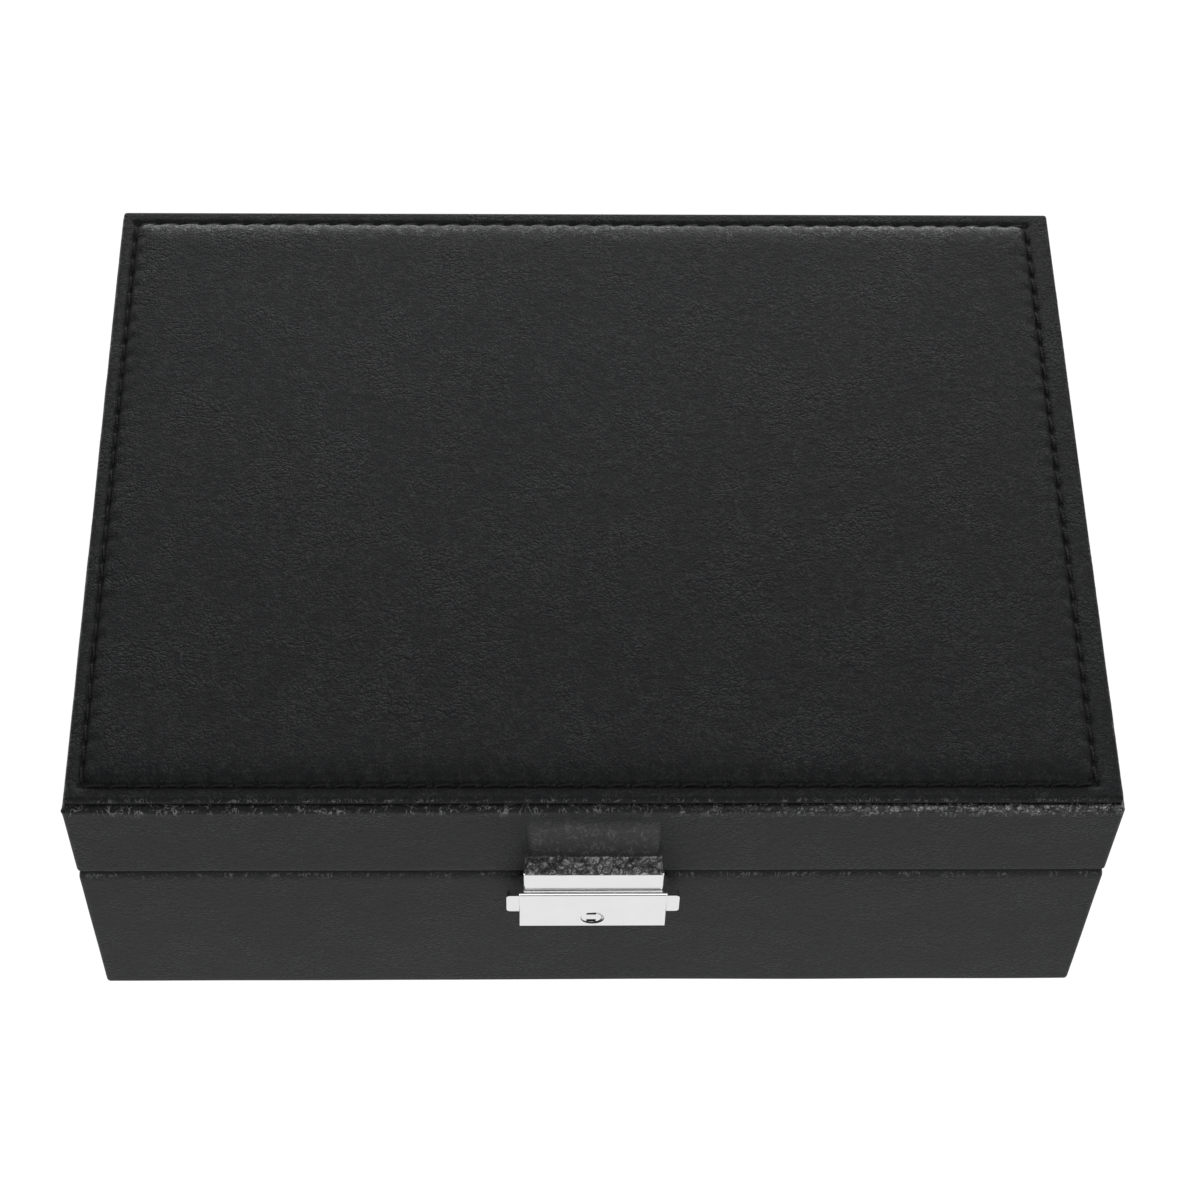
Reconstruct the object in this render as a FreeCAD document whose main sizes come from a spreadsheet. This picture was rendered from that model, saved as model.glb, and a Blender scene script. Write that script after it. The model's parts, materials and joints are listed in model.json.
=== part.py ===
import FreeCAD, Part
import Sketcher
import os
import re

from FreeCAD import Placement, Rotation, Vector

# A jewelry gift box: a leather-covered case with a hinged padded lid, a lift-out tray and a squeeze lock.
# Millimetres. X runs to the right, Y to the back and Z up. The origin is the middle of the underside.
# The driving dimensions are in the spreadsheet "sizes", and each object's sizes are bound to its cells.

# Driving dimensions, in millimetres: alias, value.
SIZES = {
    # case outside
    "box_width": 230,
    "box_depth": 170,
    "base_rim": 55,  # height of the base's rim
    "seam_gap": 0.5,  # slit between the base and the closed lid
    "lid_shoulder": 83,  # height of the lid's walls
    # boards and skins
    "skin": 0.8,  # leather wrap
    "base_board": 5,
    "lid_board": 4,
    "floor_board": 3,
    "lid_top_thick": 3,
    "foot_thick": 0.6,
    "foot_inset": 2,
    "turn_in": 14,  # how far a wrap is turned over a panel
    # base lining and lower compartments
    "lining_board": 2,
    "lining_rise": 5,  # how far the lining stands above the rim
    "pad_thick": 2,
    "lower_depth": 22,
    "ledge_board": 3,
    "divider": 2,
    "cross_place": 34.7,  # middle of each lower cross divider
    "slot_play": 0.1,
    "well_play": 0.6,  # round the mounting screws' heads
    # tray
    "tray_play": 0.6,
    "tray_lift_gap": 0.1,
    "tray_floor_thick": 2,
    "tray_board": 2.5,
    "tray_height": 28,
    "divider_drop": 3,  # how far the tray's dividers stop below its rim
    "main_place": -24,  # tray divider beside the ring rolls
    "back_place": 21,
    "middle_place": 40.5,
    "cell_place": -27,
    "roll_pitch": 14.82,
    "roll_radius": 7.2,
    "roll_height": 18,
    "roll_play": 0.7,
    "tab_width": 12,
    "tab_thick": 0.5,
    "tab_rise": 7,
    "tab_hold": 12,
    # lid inside
    "velvet": 0.5,
    "ceiling_thick": 2,
    "mirror_width": 170,
    "mirror_depth": 116,
    "mirror_thick": 2,
    "mirror_bevel": 0.6,
    "frame_border": 6,
    "frame_lip": 3,
    "frame_drop": 0.6,
    "glass_play": 0.2,
    # padded panel on the lid
    "panel_inset": 1.2,  # at the front and back
    "panel_side_inset": 0.6,
    "seam_shift": -1.1,  # the seam and the pad inside it lie a little left of the middle
    "card_thick": 1.2,
    "panel_edge": 2,
    "field_inset": 7,
    "field_rise": 1.6,
    "stitch_inset": 5.2,
    "stitch_width": 1,
    "stitch_depth": 0.6,
    # lock
    "lock_width": 33.2,
    "lock_low": 39.5,
    "lock_high": 54.5,
    "lock_proud": 5.6,
    "lock_wall": 1.2,
    "lock_plate": 1,
    "lock_round": 0.7,
    "post_short": 1.5,  # how far the posts stop in front of the back plate
    "rib_short": 0.1,
    "bore_cap": 0.2,  # left in front of the screw bores
    "plate_play": 0.05,
    "ear_reach": 2.8,
    "ear_low": 45.4,
    "ear_high": 52.6,
    "ear_front": 4.7,  # how far the ears stand out from the case
    "ear_back": 3.2,
    "ear_round": 0.9,
    "slider_thick": 1.4,
    "slider_gap": 0.4,
    "slider_reach": 8,
    "slider_play": 0.15,
    "slider_front": 0.2,  # from the housing's front wall
    "slider_back": 0.3,  # from the back plate
    "slider_rise": 0.3,  # from the housing's top and bottom walls
    "stop_play": 0.1,
    "window_run": 2.6,  # travel that a slider's window leaves beside the tongue
    "window_grip": 0.25,
    "leg_thick": 1.3,
    "key_place": -0.3,
    "key_height": 43.7,
    "mouth_radius": 2.7,  # opening in the housing's face
    "mouth_depth": 0.9,
    "plug_set": 0.2,  # plug's face, behind the housing's
    "nose_radius": 2.25,  # the plug's narrow end, seen in the opening
    "nose_length": 0.8,
    "plug_radius": 2.65,
    "plug_play": 0.05,
    "plug_length": 3.6,
    "keyway_width": 2.2,
    "keyway_reach": 2.1,
    "keyway_depth": 2.4,
    "bridge_high": 1.3,  # top and bottom of the bar across the keyway
    "bridge_low": 0.9,
    "barrel_wall": 1,
    "cam_length": 5.4,
    "cam_width": 4,
    "cam_thick": 0.6,
    "cam_round": 1.2,
    "post_place": 9,
    "post_height": 46.8,
    "post_radius": 1.7,
    "screw_radius": 0.8,
    "screw_play": 0.05,
    "screw_head": 1.8,
    "screw_short": 0.4,  # from the tip to the housing's front wall
    "head_deep": 1.6,
    "head_set": 0.3,  # how far the head is sunk
    "drive_length": 2.8,
    "drive_width": 0.5,
    "drive_depth": 0.9,
    "spring_height": 42.9,
    "spring_set": 2.7,
    "rib_place": 6.9,
    "rib_thick": 1,
    "rib_rise": 1.2,  # above the springs' axis
    "spring_radius": 0.9,
    "spring_wire": 0.36,
    "spring_turns": 6,
    "spring_play": 0.02,
    # hasp
    "hasp_width": 31.2,
    "hasp_low": 54.9,
    "hasp_high": 62.1,
    "hasp_proud": 4.5,
    "hasp_clear": 0.3,  # between the bar's lower edge and the base
    "hasp_round": 0.5,
    "flange_low": 56.3,
    "flange_high": 74,
    "flange_width": 26,
    "tongue_width": 10,
    "tongue_thick": 1.2,
    "tongue_set": 2.15,  # tongue's back face, out from the case
    "tongue_low": 47.9,
    "tongue_play": 0.4,
    "notch_depth": 1.2,
    "notch_rise": 1.3,
    "notch_short": 0.1,
    "strap_width": 30.4,
    "strap_thick": 0.7,
    "strap_drop": 0.4,
    "hasp_screw_place": 8,
    "hasp_screw_height": 69,
    "hasp_screw_short": 1.2,
    # hinges
    "hinge_place": 70,
    "hinge_width": 32,
    "leaf_thick": 0.8,
    "knuckle_radius": 2,
    "knuckle_play": 0.1,
    "axis_out": 2.2,  # hinge axis, out from the case
    "pin_radius": 0.8,
    "pin_play": 0.05,
    "pin_overhang": 0.3,
    "leaf_play": 0.2,
    "leaf_screw_place": 9,
    "leaf_screw_in": 2.7,
    "leaf_screw_head": 1.7,
    "leaf_screw_radius": 0.9,
    "leaf_screw_length": 5,
}
KNUCKLES = 5
ROLLS = 10
SAME = 1e-6  # two lengths closer than this are equal

doc = FreeCAD.newDocument("jewelry_gift_box")
sheet = doc.addObject("Spreadsheet::Sheet", "sizes")
for row, (alias, value) in enumerate(SIZES.items(), start=1):
    sheet.set(f"A{row}", alias)
    sheet.set(f"B{row}", str(value))
    sheet.setAlias(f"B{row}", alias)
doc.recompute()

kept = []  # objects that are written out, one per sub-part


# ---------------------------------------------------------------------------------------------
# Helpers: expressions name the sheet's cells, and these bind them to objects
# ---------------------------------------------------------------------------------------------
def linked(text):
    """An expression in cell names, with each name pointed at the sheet."""

    def point(word):
        return f"sizes.{word.group()}" if word.group() in SIZES else word.group()

    return re.sub(r"[a-z_]+", point, text)


def number(text):
    """The expression's value now, for a sketch's first geometry."""
    return float(sheet.evalExpression(linked(text)))


def minus(text):
    return f"-({text})"


def both(text):
    """The span from minus an expression to plus it."""
    return (minus(text), text)


def around(middle, half):
    return (f"({middle}) - ({half})", f"({middle}) + ({half})")


def place(shape, x, y, z):
    for axis, text in zip("xyz", (x, y, z)):
        shape.setExpression(f".Placement.Base.{axis}", linked(text))


def block(x, y, z):
    """A box between two expressions along each axis."""
    shape = doc.addObject("Part::Box", "block")
    for side, (low, high) in zip(("Length", "Width", "Height"), (x, y, z)):
        shape.setExpression(side, linked(f"({high}) - ({low})"))
    place(shape, x[0], y[0], z[0])
    return shape


TURNS = {
    "x": Rotation(Vector(0, 1, 0), 90),
    "y": Rotation(Vector(1, 0, 0), -90),
    "z": Rotation(),
    "-y": Rotation(Vector(1, 0, 0), 90),
    "-z": Rotation(Vector(1, 0, 0), 180),
}


def rod(radius, length, start, along):
    """A cylinder from a start point along an axis."""
    shape = doc.addObject("Part::Cylinder", "rod")
    shape.setExpression("Radius", linked(radius))
    shape.setExpression("Height", linked(length))
    shape.Placement = Placement(Vector(), TURNS[along])
    place(shape, *start)
    return shape


def cone(radius_start, radius_end, length, start, along):
    shape = doc.addObject("Part::Cone", "cone")
    shape.setExpression("Radius1", linked(radius_start))
    shape.setExpression("Radius2", linked(radius_end))
    shape.setExpression("Height", linked(length))
    shape.Placement = Placement(Vector(), TURNS[along])
    place(shape, *start)
    return shape


def joined(shapes):
    if len(shapes) == 1:
        return shapes[0]
    whole = doc.addObject("Part::MultiFuse", "joined")
    whole.Shapes = shapes
    return whole


def less(shape, tools):
    """A shape with tools cut out of it."""
    rest = doc.addObject("Part::Cut", "less")
    rest.Base = shape
    rest.Tool = joined(tools)
    return rest


def keep(shape, label):
    """Names a finished sub-part."""
    shape.Label = label
    kept.append(shape)
    return shape


# PartDesign: sketches lie on a body's own origin planes. NORMALS says which way each plane faces.
NORMALS = {"XY_Plane": 1, "XZ_Plane": -1, "YZ_Plane": 1}


def new_body(label):
    return keep(doc.addObject("PartDesign::Body", label), label)


def new_sketch(body, plane, offset):
    """A sketch parallel to an origin plane, at a height along that plane's axis."""
    sketch = body.newObject("Sketcher::SketchObject", "Sketch")
    support = [item for item in body.Origin.OriginFeatures if item.Role == plane][0]
    sketch.AttachmentSupport = [(support, "")]
    sketch.MapMode = "FlatFace"
    out = offset if NORMALS[plane] > 0 else minus(offset)
    sketch.setExpression(".AttachmentOffset.Base.z", linked(out))
    return sketch


def pin_point(sketch, geometry, vertex, point):
    """Fixes a vertex at two expressions, measured from the sketch's origin."""
    for kind, text in zip(("DistanceX", "DistanceY"), point):
        index = sketch.addConstraint(Sketcher.Constraint(kind, -1, 1, geometry, vertex, number(text)))
        sketch.setExpression(f"Constraints[{index}]", linked(text))


def draw_outline(sketch, points):
    """A closed outline of straight lines through points given as expressions."""
    places = [Vector(number(a), number(b), 0) for a, b in points]
    first = sketch.GeometryCount
    for start, end in zip(places, places[1:] + places[:1]):
        sketch.addGeometry(Part.LineSegment(start, end), False)
    for index in range(len(points)):
        following = (index + 1) % len(points)
        sketch.addConstraint(Sketcher.Constraint("Coincident", first + index, 2, first + following, 1))
        pin_point(sketch, first + index, 1, points[index])


def draw_rectangle(sketch, across, up):
    draw_outline(sketch, [(across[0], up[0]), (across[1], up[0]), (across[1], up[1]), (across[0], up[1])])


def draw_circle(sketch, centre, radius):
    middle = Vector(number(centre[0]), number(centre[1]), 0)
    index = sketch.addGeometry(Part.Circle(middle, Vector(0, 0, 1), number(radius)), False)
    pin_point(sketch, index, 3, centre)
    size = sketch.addConstraint(Sketcher.Constraint("Radius", index, number(radius)))
    sketch.setExpression(f"Constraints[{size}]", linked(radius))


def pad(body, plane, span, draw):
    """Material between two heights along the plane's axis. draw(sketch) makes the outline."""
    forward = NORMALS[plane] > 0
    sketch = new_sketch(body, plane, span[0] if forward else span[1])
    draw(sketch)
    feature = body.newObject("PartDesign::Pad", "Pad")
    feature.Profile = sketch
    feature.setExpression("Length", linked(f"({span[1]}) - ({span[0]})"))
    body.Tip = feature
    doc.recompute()


def pocket(body, plane, span, draw):
    """Takes away what lies between two heights along the plane's axis."""
    forward = NORMALS[plane] > 0
    before = body.Shape.Volume
    sketch = new_sketch(body, plane, span[1] if forward else span[0])
    draw(sketch)
    feature = body.newObject("PartDesign::Pocket", "Pocket")
    feature.Profile = sketch
    feature.setExpression("Length", linked(f"({span[1]}) - ({span[0]})"))
    body.Tip = feature
    doc.recompute()
    if body.Shape.Volume > before - SAME:
        raise ValueError(f"a pocket in {body.Label} cuts nothing")


def soften(body, kind, size, wanted):
    """Fillets or chamfers the edges of the tip that wanted(edge) picks."""
    tip = body.Tip
    names = [f"Edge{n}" for n, edge in enumerate(tip.Shape.Edges, start=1) if wanted(edge)]
    if not names:
        raise ValueError(f"no edge of {body.Label} to soften")
    feature = body.newObject(f"PartDesign::{kind}", kind)
    feature.Base = (tip, names)
    feature.setExpression("Radius" if kind == "Fillet" else "Size", linked(size))
    body.Tip = feature
    doc.recompute()


# ---------------------------------------------------------------------------------------------
# Levels and half sizes, as expressions
# ---------------------------------------------------------------------------------------------
HALF_X = "box_width / 2"
HALF_Y = "box_depth / 2"
SHELL_X = f"({HALF_X} - skin)"
SHELL_Y = f"({HALF_Y} - skin)"
INNER_X = f"({SHELL_X} - base_board)"
INNER_Y = f"({SHELL_Y} - base_board)"
LINED_X = f"({INNER_X} - lining_board)"
LINED_Y = f"({INNER_Y} - lining_board)"
FLOOR_LOW = "(foot_thick + skin)"
FLOOR_TOP = f"({FLOOR_LOW} + floor_board)"
PAD_TOP = f"({FLOOR_TOP} + pad_thick)"
LEDGE_TOP = f"({PAD_TOP} + lower_depth)"
BASE_WALL_TOP = "(base_rim - skin)"
LINING_TOP = "(base_rim + lining_rise)"

TRAY_X = f"({LINED_X} - tray_play)"
TRAY_Y = f"({LINED_Y} - tray_play)"
TRAY_LOW = f"({LEDGE_TOP} + tray_lift_gap)"
TRAY_FLOOR = f"({TRAY_LOW} + tray_floor_thick)"
TRAY_TOP = f"({TRAY_LOW} + tray_height)"
TRAY_DIVIDER_TOP = f"({TRAY_TOP} - divider_drop)"
CELL_X = f"({TRAY_X} - tray_board)"
CELL_Y = f"({TRAY_Y} - tray_board)"

LID_RIM = "(base_rim + seam_gap)"
LID_WALL_LOW = f"({LID_RIM} + skin)"
LID_TOP_HIGH = "(lid_shoulder - skin)"
LID_TOP_LOW = f"({LID_TOP_HIGH} - lid_top_thick)"
LID_INNER_X = f"({SHELL_X} - lid_board)"
LID_INNER_Y = f"({SHELL_Y} - lid_board)"
CEILING_LOW = f"({LID_TOP_LOW} - ceiling_thick)"

HINGE_Y = f"({HALF_Y} + axis_out)"
HINGE_Z = "(base_rim + seam_gap / 2)"
LEAF_SCREW_Y = f"({HALF_Y} - leaf_screw_in)"
SCREW_SEAT = minus(f"{INNER_Y} + head_deep")  # under the head of each of the lock's mounting screws
LOCK_BACK = minus(HALF_Y)
LOCK_FRONT = minus(f"{HALF_Y} + lock_proud")
SIDES = {"left": -1, "right": 1}


def hinge_middle(side):
    return f"({SIDES[side]} * hinge_place)"


def leaf_span(side):
    return around(hinge_middle(side), "hinge_width / 2")


def leaf_screw_places():
    return [f"({hinge_middle(side)} + {way} * leaf_screw_place)" for side in SIDES for way in (-1, 1)]


def lock_screw_places():
    return [f"({way} * post_place)" for way in SIDES.values()]


# ---------------------------------------------------------------------------------------------
# Base: boards, wrap, lining and lower compartments
# ---------------------------------------------------------------------------------------------
def make_base_shell():
    keep(
        block(both(f"{HALF_X} - foot_inset"), both(f"{HALF_Y} - foot_inset"), ("0", "foot_thick")),
        "foot_sheet",
    )
    keep(block(both(SHELL_X), both(SHELL_Y), (FLOOR_LOW, FLOOR_TOP)), "base_floor_board")

    outside = block(both(HALF_X), both(HALF_Y), ("foot_thick", "base_rim"))
    board_room = block(both(SHELL_X), both(SHELL_Y), (FLOOR_LOW, BASE_WALL_TOP))
    mouth = block(both(INNER_X), both(INNER_Y), (f"{BASE_WALL_TOP} - 1", "base_rim + 1"))
    underside = block(both(f"{HALF_X} - turn_in"), both(f"{HALF_Y} - turn_in"), ("0", f"{FLOOR_LOW} + 1"))
    notches = [
        block(leaf_span(side), (INNER_Y, f"{HALF_Y} + 1"), (BASE_WALL_TOP, "base_rim + 1")) for side in SIDES
    ]
    screw_holes = [
        rod("screw_radius + screw_play", "skin + 2", (x, minus(f"{HALF_Y} + 1"), "post_height"), "y")
        for x in lock_screw_places()
    ]
    keep(less(outside, [board_room, mouth, underside] + notches + screw_holes), "base_wrap")

    walls = (FLOOR_TOP, BASE_WALL_TOP)
    front = block(both(SHELL_X), (minus(SHELL_Y), minus(INNER_Y)), walls)
    shanks = [
        rod("screw_radius + screw_play", "base_board + 2", (x, minus(f"{SHELL_Y} + 1"), "post_height"), "y")
        for x in lock_screw_places()
    ]
    head_wells = [
        rod("screw_head + well_play", "head_deep + 1", (x, SCREW_SEAT, "post_height"), "y")
        for x in lock_screw_places()
    ]
    keep(less(front, shanks + head_wells), "base_front_board")
    back = block(both(SHELL_X), (INNER_Y, SHELL_Y), walls)
    pilots = [
        rod("leaf_screw_radius", "leaf_screw_length + 1", (x, LEAF_SCREW_Y, f"{BASE_WALL_TOP} + 1"), "-z")
        for x in leaf_screw_places()
    ]
    keep(less(back, pilots), "base_back_board")
    keep(block((minus(SHELL_X), minus(INNER_X)), both(INNER_Y), walls), "base_left_board")
    keep(block((INNER_X, SHELL_X), both(INNER_Y), walls), "base_right_board")


def make_base_lining():
    keep(block(both(LINED_X), both(LINED_Y), (FLOOR_TOP, PAD_TOP)), "base_floor_pad")
    rise = (FLOOR_TOP, LINING_TOP)
    keep(block(both(INNER_X), (minus(INNER_Y), minus(LINED_Y)), rise), "base_front_lining")
    keep(block(both(INNER_X), (LINED_Y, INNER_Y), rise), "base_back_lining")
    keep(block((minus(INNER_X), minus(LINED_X)), both(LINED_Y), rise), "base_left_lining")
    keep(block((LINED_X, INNER_X), both(LINED_Y), rise), "base_right_lining")


def make_lower_compartments():
    level = (PAD_TOP, LEDGE_TOP)
    middle_level = f"({PAD_TOP} + lower_depth / 2)"
    ledges = [
        block((minus(LINED_X), minus(f"{LINED_X} - ledge_board")), both(LINED_Y), level),
        block((f"{LINED_X} - ledge_board", LINED_X), both(LINED_Y), level),
    ]
    keep(joined(ledges), "tray_ledges")
    long_board = block(both(f"{LINED_X} - ledge_board"), both("divider / 2"), level)
    slots = [
        block(
            around(f"{way} * cross_place", "divider / 2 + slot_play"),
            both("divider"),
            (middle_level, f"{LEDGE_TOP} + 1"),
        )
        for way in SIDES.values()
    ]
    keep(less(long_board, slots), "lower_long_divider")
    crosses = []
    for way in SIDES.values():
        board = block(around(f"{way} * cross_place", "divider / 2"), both(LINED_Y), level)
        slot = block(
            around(f"{way} * cross_place", "divider"),
            both("divider / 2 + slot_play"),
            (f"{PAD_TOP} - 1", middle_level),
        )
        crosses.append(less(board, [slot]))
    keep(joined(crosses), "lower_cross_dividers")


# ---------------------------------------------------------------------------------------------
# Lift-out tray
# ---------------------------------------------------------------------------------------------
def make_tray():
    keep(block(both(TRAY_X), both(TRAY_Y), (TRAY_LOW, TRAY_FLOOR)), "tray_floor")
    walls = (TRAY_FLOOR, TRAY_TOP)
    keep(block(both(TRAY_X), (minus(TRAY_Y), minus(CELL_Y)), walls), "tray_front_wall")
    keep(block(both(TRAY_X), (CELL_Y, TRAY_Y), walls), "tray_back_wall")
    keep(block((minus(TRAY_X), minus(CELL_X)), both(CELL_Y), walls), "tray_left_wall")
    keep(block((CELL_X, TRAY_X), both(CELL_Y), walls), "tray_right_wall")

    level = (TRAY_FLOOR, TRAY_DIVIDER_TOP)
    half = "divider / 2"
    right_of_main = f"main_place + {half}"
    keep(block(around("main_place", half), both(CELL_Y), level), "tray_main_divider")
    keep(block((right_of_main, CELL_X), around("back_place", half), level), "tray_back_divider")
    in_front = (minus(CELL_Y), f"back_place - {half}")
    keep(block(around("middle_place", half), in_front, level), "tray_middle_divider")
    cells = [
        block((right_of_main, f"middle_place - {half}"), around("cell_place", half), level),
        block((f"middle_place + {half}", CELL_X), around("cell_place", half), level),
    ]
    keep(joined(cells), "tray_cell_dividers")


def make_ring_rolls():
    """Foam rolls side by side; rings are pushed down between them."""
    along = (f"roll_play - {CELL_X}", "main_place - divider / 2 - roll_play / 2")
    shoulder = f"({TRAY_FLOOR} + roll_height - roll_radius)"
    rolls = []
    for index in range(ROLLS):
        middle = f"(({index} - {(ROLLS - 1) / 2}) * roll_pitch)"
        foot = block(along, around(middle, "roll_radius"), (TRAY_FLOOR, shoulder))
        crown = rod("roll_radius", f"({along[1]}) - ({along[0]})", (along[0], middle, shoulder), "x")
        rolls.append(joined([foot, crown]))
    keep(joined(rolls), "ring_rolls")


def make_lift_tabs():
    tall = (f"{TRAY_TOP} - tab_hold", f"{TRAY_TOP} + tab_rise")
    left = block((minus(CELL_X), f"tab_thick - {CELL_X}"), both("tab_width / 2"), tall)
    right = block((f"{CELL_X} - tab_thick", CELL_X), both("tab_width / 2"), tall)
    keep(joined([left, right]), "tray_lift_tabs")


# ---------------------------------------------------------------------------------------------
# Lid: boards, wrap, lining, mirror and padded panel
# ---------------------------------------------------------------------------------------------
def flange_room():
    """The window in the lid's wrap that the hasp's flange fills."""
    depth = (minus(f"{HALF_Y} + 1"), minus(SHELL_Y))
    return block(both("flange_width / 2"), depth, ("hasp_low", "flange_high"))


def make_lid_shell():
    keep(block(both(SHELL_X), both(SHELL_Y), (LID_TOP_LOW, LID_TOP_HIGH)), "lid_top_board")

    outside = block(both(HALF_X), both(HALF_Y), (LID_RIM, "lid_shoulder"))
    board_room = block(both(SHELL_X), both(SHELL_Y), (LID_WALL_LOW, LID_TOP_HIGH))
    mouth = block(both(LID_INNER_X), both(LID_INNER_Y), (f"{LID_RIM} - 1", f"{LID_WALL_LOW} + 1"))
    top = block(
        both(f"{HALF_X} - turn_in"), both(f"{HALF_Y} - turn_in"), (f"{LID_TOP_HIGH} - 1", "lid_shoulder + 1")
    )
    notches = [
        block(leaf_span(side), (LID_INNER_Y, f"{HALF_Y} + 1"), (f"{LID_RIM} - 1", LID_WALL_LOW))
        for side in SIDES
    ]
    keep(less(outside, [board_room, mouth, top, flange_room()] + notches), "lid_wrap")

    walls = (LID_WALL_LOW, LID_TOP_LOW)
    front = block(both(SHELL_X), (minus(SHELL_Y), minus(LID_INNER_Y)), walls)
    hasp_pilots = [
        rod("leaf_screw_radius", "lid_board", (x, minus(f"{SHELL_Y} + 1"), "hasp_screw_height"), "y")
        for x in both("hasp_screw_place")
    ]
    keep(less(front, hasp_pilots), "lid_front_board")
    back = block(both(SHELL_X), (LID_INNER_Y, SHELL_Y), walls)
    pilots = [
        rod("leaf_screw_radius", "leaf_screw_length + 1", (x, LEAF_SCREW_Y, f"{LID_WALL_LOW} - 1"), "z")
        for x in leaf_screw_places()
    ]
    keep(less(back, pilots), "lid_back_board")
    keep(block((minus(SHELL_X), minus(LID_INNER_X)), both(LID_INNER_Y), walls), "lid_left_board")
    keep(block((LID_INNER_X, SHELL_X), both(LID_INNER_Y), walls), "lid_right_board")


def make_lid_lining():
    band = block(both(LID_INNER_X), both(LID_INNER_Y), (LID_WALL_LOW, CEILING_LOW))
    hollow = block(
        both(f"{LID_INNER_X} - velvet"), both(f"{LID_INNER_Y} - velvet"), (LID_RIM, f"{CEILING_LOW} + 1")
    )
    keep(less(band, [hollow]), "lid_side_lining")
    keep(block(both(LID_INNER_X), both(LID_INNER_Y), (CEILING_LOW, LID_TOP_LOW)), "lid_ceiling_pad")


def make_mirror():
    glass = new_body("mirror_glass")
    low = f"({CEILING_LOW} - mirror_thick)"
    half_x, half_y = "mirror_width / 2", "mirror_depth / 2"
    pad(glass, "XY_Plane", (low, CEILING_LOW), lambda s: draw_rectangle(s, both(half_x), both(half_y)))
    height = number(low)
    soften(glass, "Chamfer", "mirror_bevel", lambda e: abs(e.BoundBox.ZMax - height) < SAME)

    frame = new_body("mirror_frame")
    outer_x, outer_y = f"{half_x} + frame_border", f"{half_y} + frame_border"
    frame_low = f"({low} - frame_drop)"
    whole = (frame_low, CEILING_LOW)
    pad(frame, "XY_Plane", whole, lambda s: draw_rectangle(s, both(outer_x), both(outer_y)))
    rebate_x, rebate_y = f"{half_x} + glass_play", f"{half_y} + glass_play"
    pocket(frame, "XY_Plane", (low, CEILING_LOW), lambda s: draw_rectangle(s, both(rebate_x), both(rebate_y)))
    window_x, window_y = f"{half_x} - frame_lip", f"{half_y} - frame_lip"
    pocket(frame, "XY_Plane", (frame_low, low), lambda s: draw_rectangle(s, both(window_x), both(window_y)))


def make_padded_panel():
    edge_x, edge_y = f"({HALF_X} - panel_side_inset)", f"({HALF_Y} - panel_inset)"
    edge_top = "(lid_shoulder + panel_edge)"
    card_top = "(lid_shoulder + card_thick)"
    field_x, field_y = f"({HALF_X} - field_inset)", f"({HALF_Y} - field_inset)"
    field_top = f"({edge_top} + field_rise)"
    foam_x = around("seam_shift", f"{field_x} - skin")
    card_span = (both(f"{edge_x} - skin"), both(f"{edge_y} - skin"), ("lid_shoulder", card_top))
    foam_span = (foam_x, both(f"{field_y} - skin"), (card_top, f"{field_top} - skin"))
    keep(block(*card_span), "lid_panel_card")
    keep(block(*foam_span), "lid_foam_pad")

    seam_x, seam_y = f"({HALF_X} - stitch_inset)", f"({HALF_Y} - stitch_inset)"
    seam_low = f"{edge_top} - stitch_depth"
    half = "stitch_width / 2"

    def seam_ring(high):
        outer_x, inner_x = (around("seam_shift", f"{seam_x} {sign} {half}") for sign in "+-")
        outer = block(outer_x, both(f"{seam_y} + {half}"), (seam_low, high))
        through = (f"{seam_low} - 1", f"{high} + 1")
        inner = block(inner_x, both(f"{seam_y} - {half}"), through)
        return less(outer, [inner])

    slab = block(both(edge_x), both(edge_y), ("lid_shoulder", edge_top))
    field = block(around("seam_shift", field_x), both(field_y), (edge_top, field_top))
    rooms = [block(*card_span), block(*foam_span), seam_ring(f"{edge_top} + 1")]
    keep(less(joined([slab, field]), rooms), "lid_top_cover")
    keep(seam_ring(edge_top), "lid_stitching")


# ---------------------------------------------------------------------------------------------
# Squeeze lock on the base's front
# ---------------------------------------------------------------------------------------------
PLATE_FRONT = minus(f"{HALF_Y} + lock_plate")
CAVITY_FRONT = f"({LOCK_FRONT} + lock_wall)"
CAVITY_X = "(lock_width / 2 - lock_wall)"
CAVITY_LOW = "(lock_low + lock_wall)"
CAVITY_HIGH = "(lock_high - lock_wall)"
TONGUE_BACK = minus(f"{HALF_Y} + tongue_set")
TONGUE_FRONT = f"({TONGUE_BACK} - tongue_thick)"
PLUG_FRONT = f"({LOCK_FRONT} + plug_set)"
NOSE_END = f"({PLUG_FRONT} + nose_length)"
PLUG_BACK = f"({PLUG_FRONT} + plug_length)"
SPRING_Y = minus(f"{HALF_Y} + spring_set")
LEG_X = f"({CAVITY_X} - leg_thick)"  # inner face of each slider's leg
SCREW_TIP = f"({CAVITY_FRONT} + screw_short)"
KEY_AXIS = ("key_place", "key_height")


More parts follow.
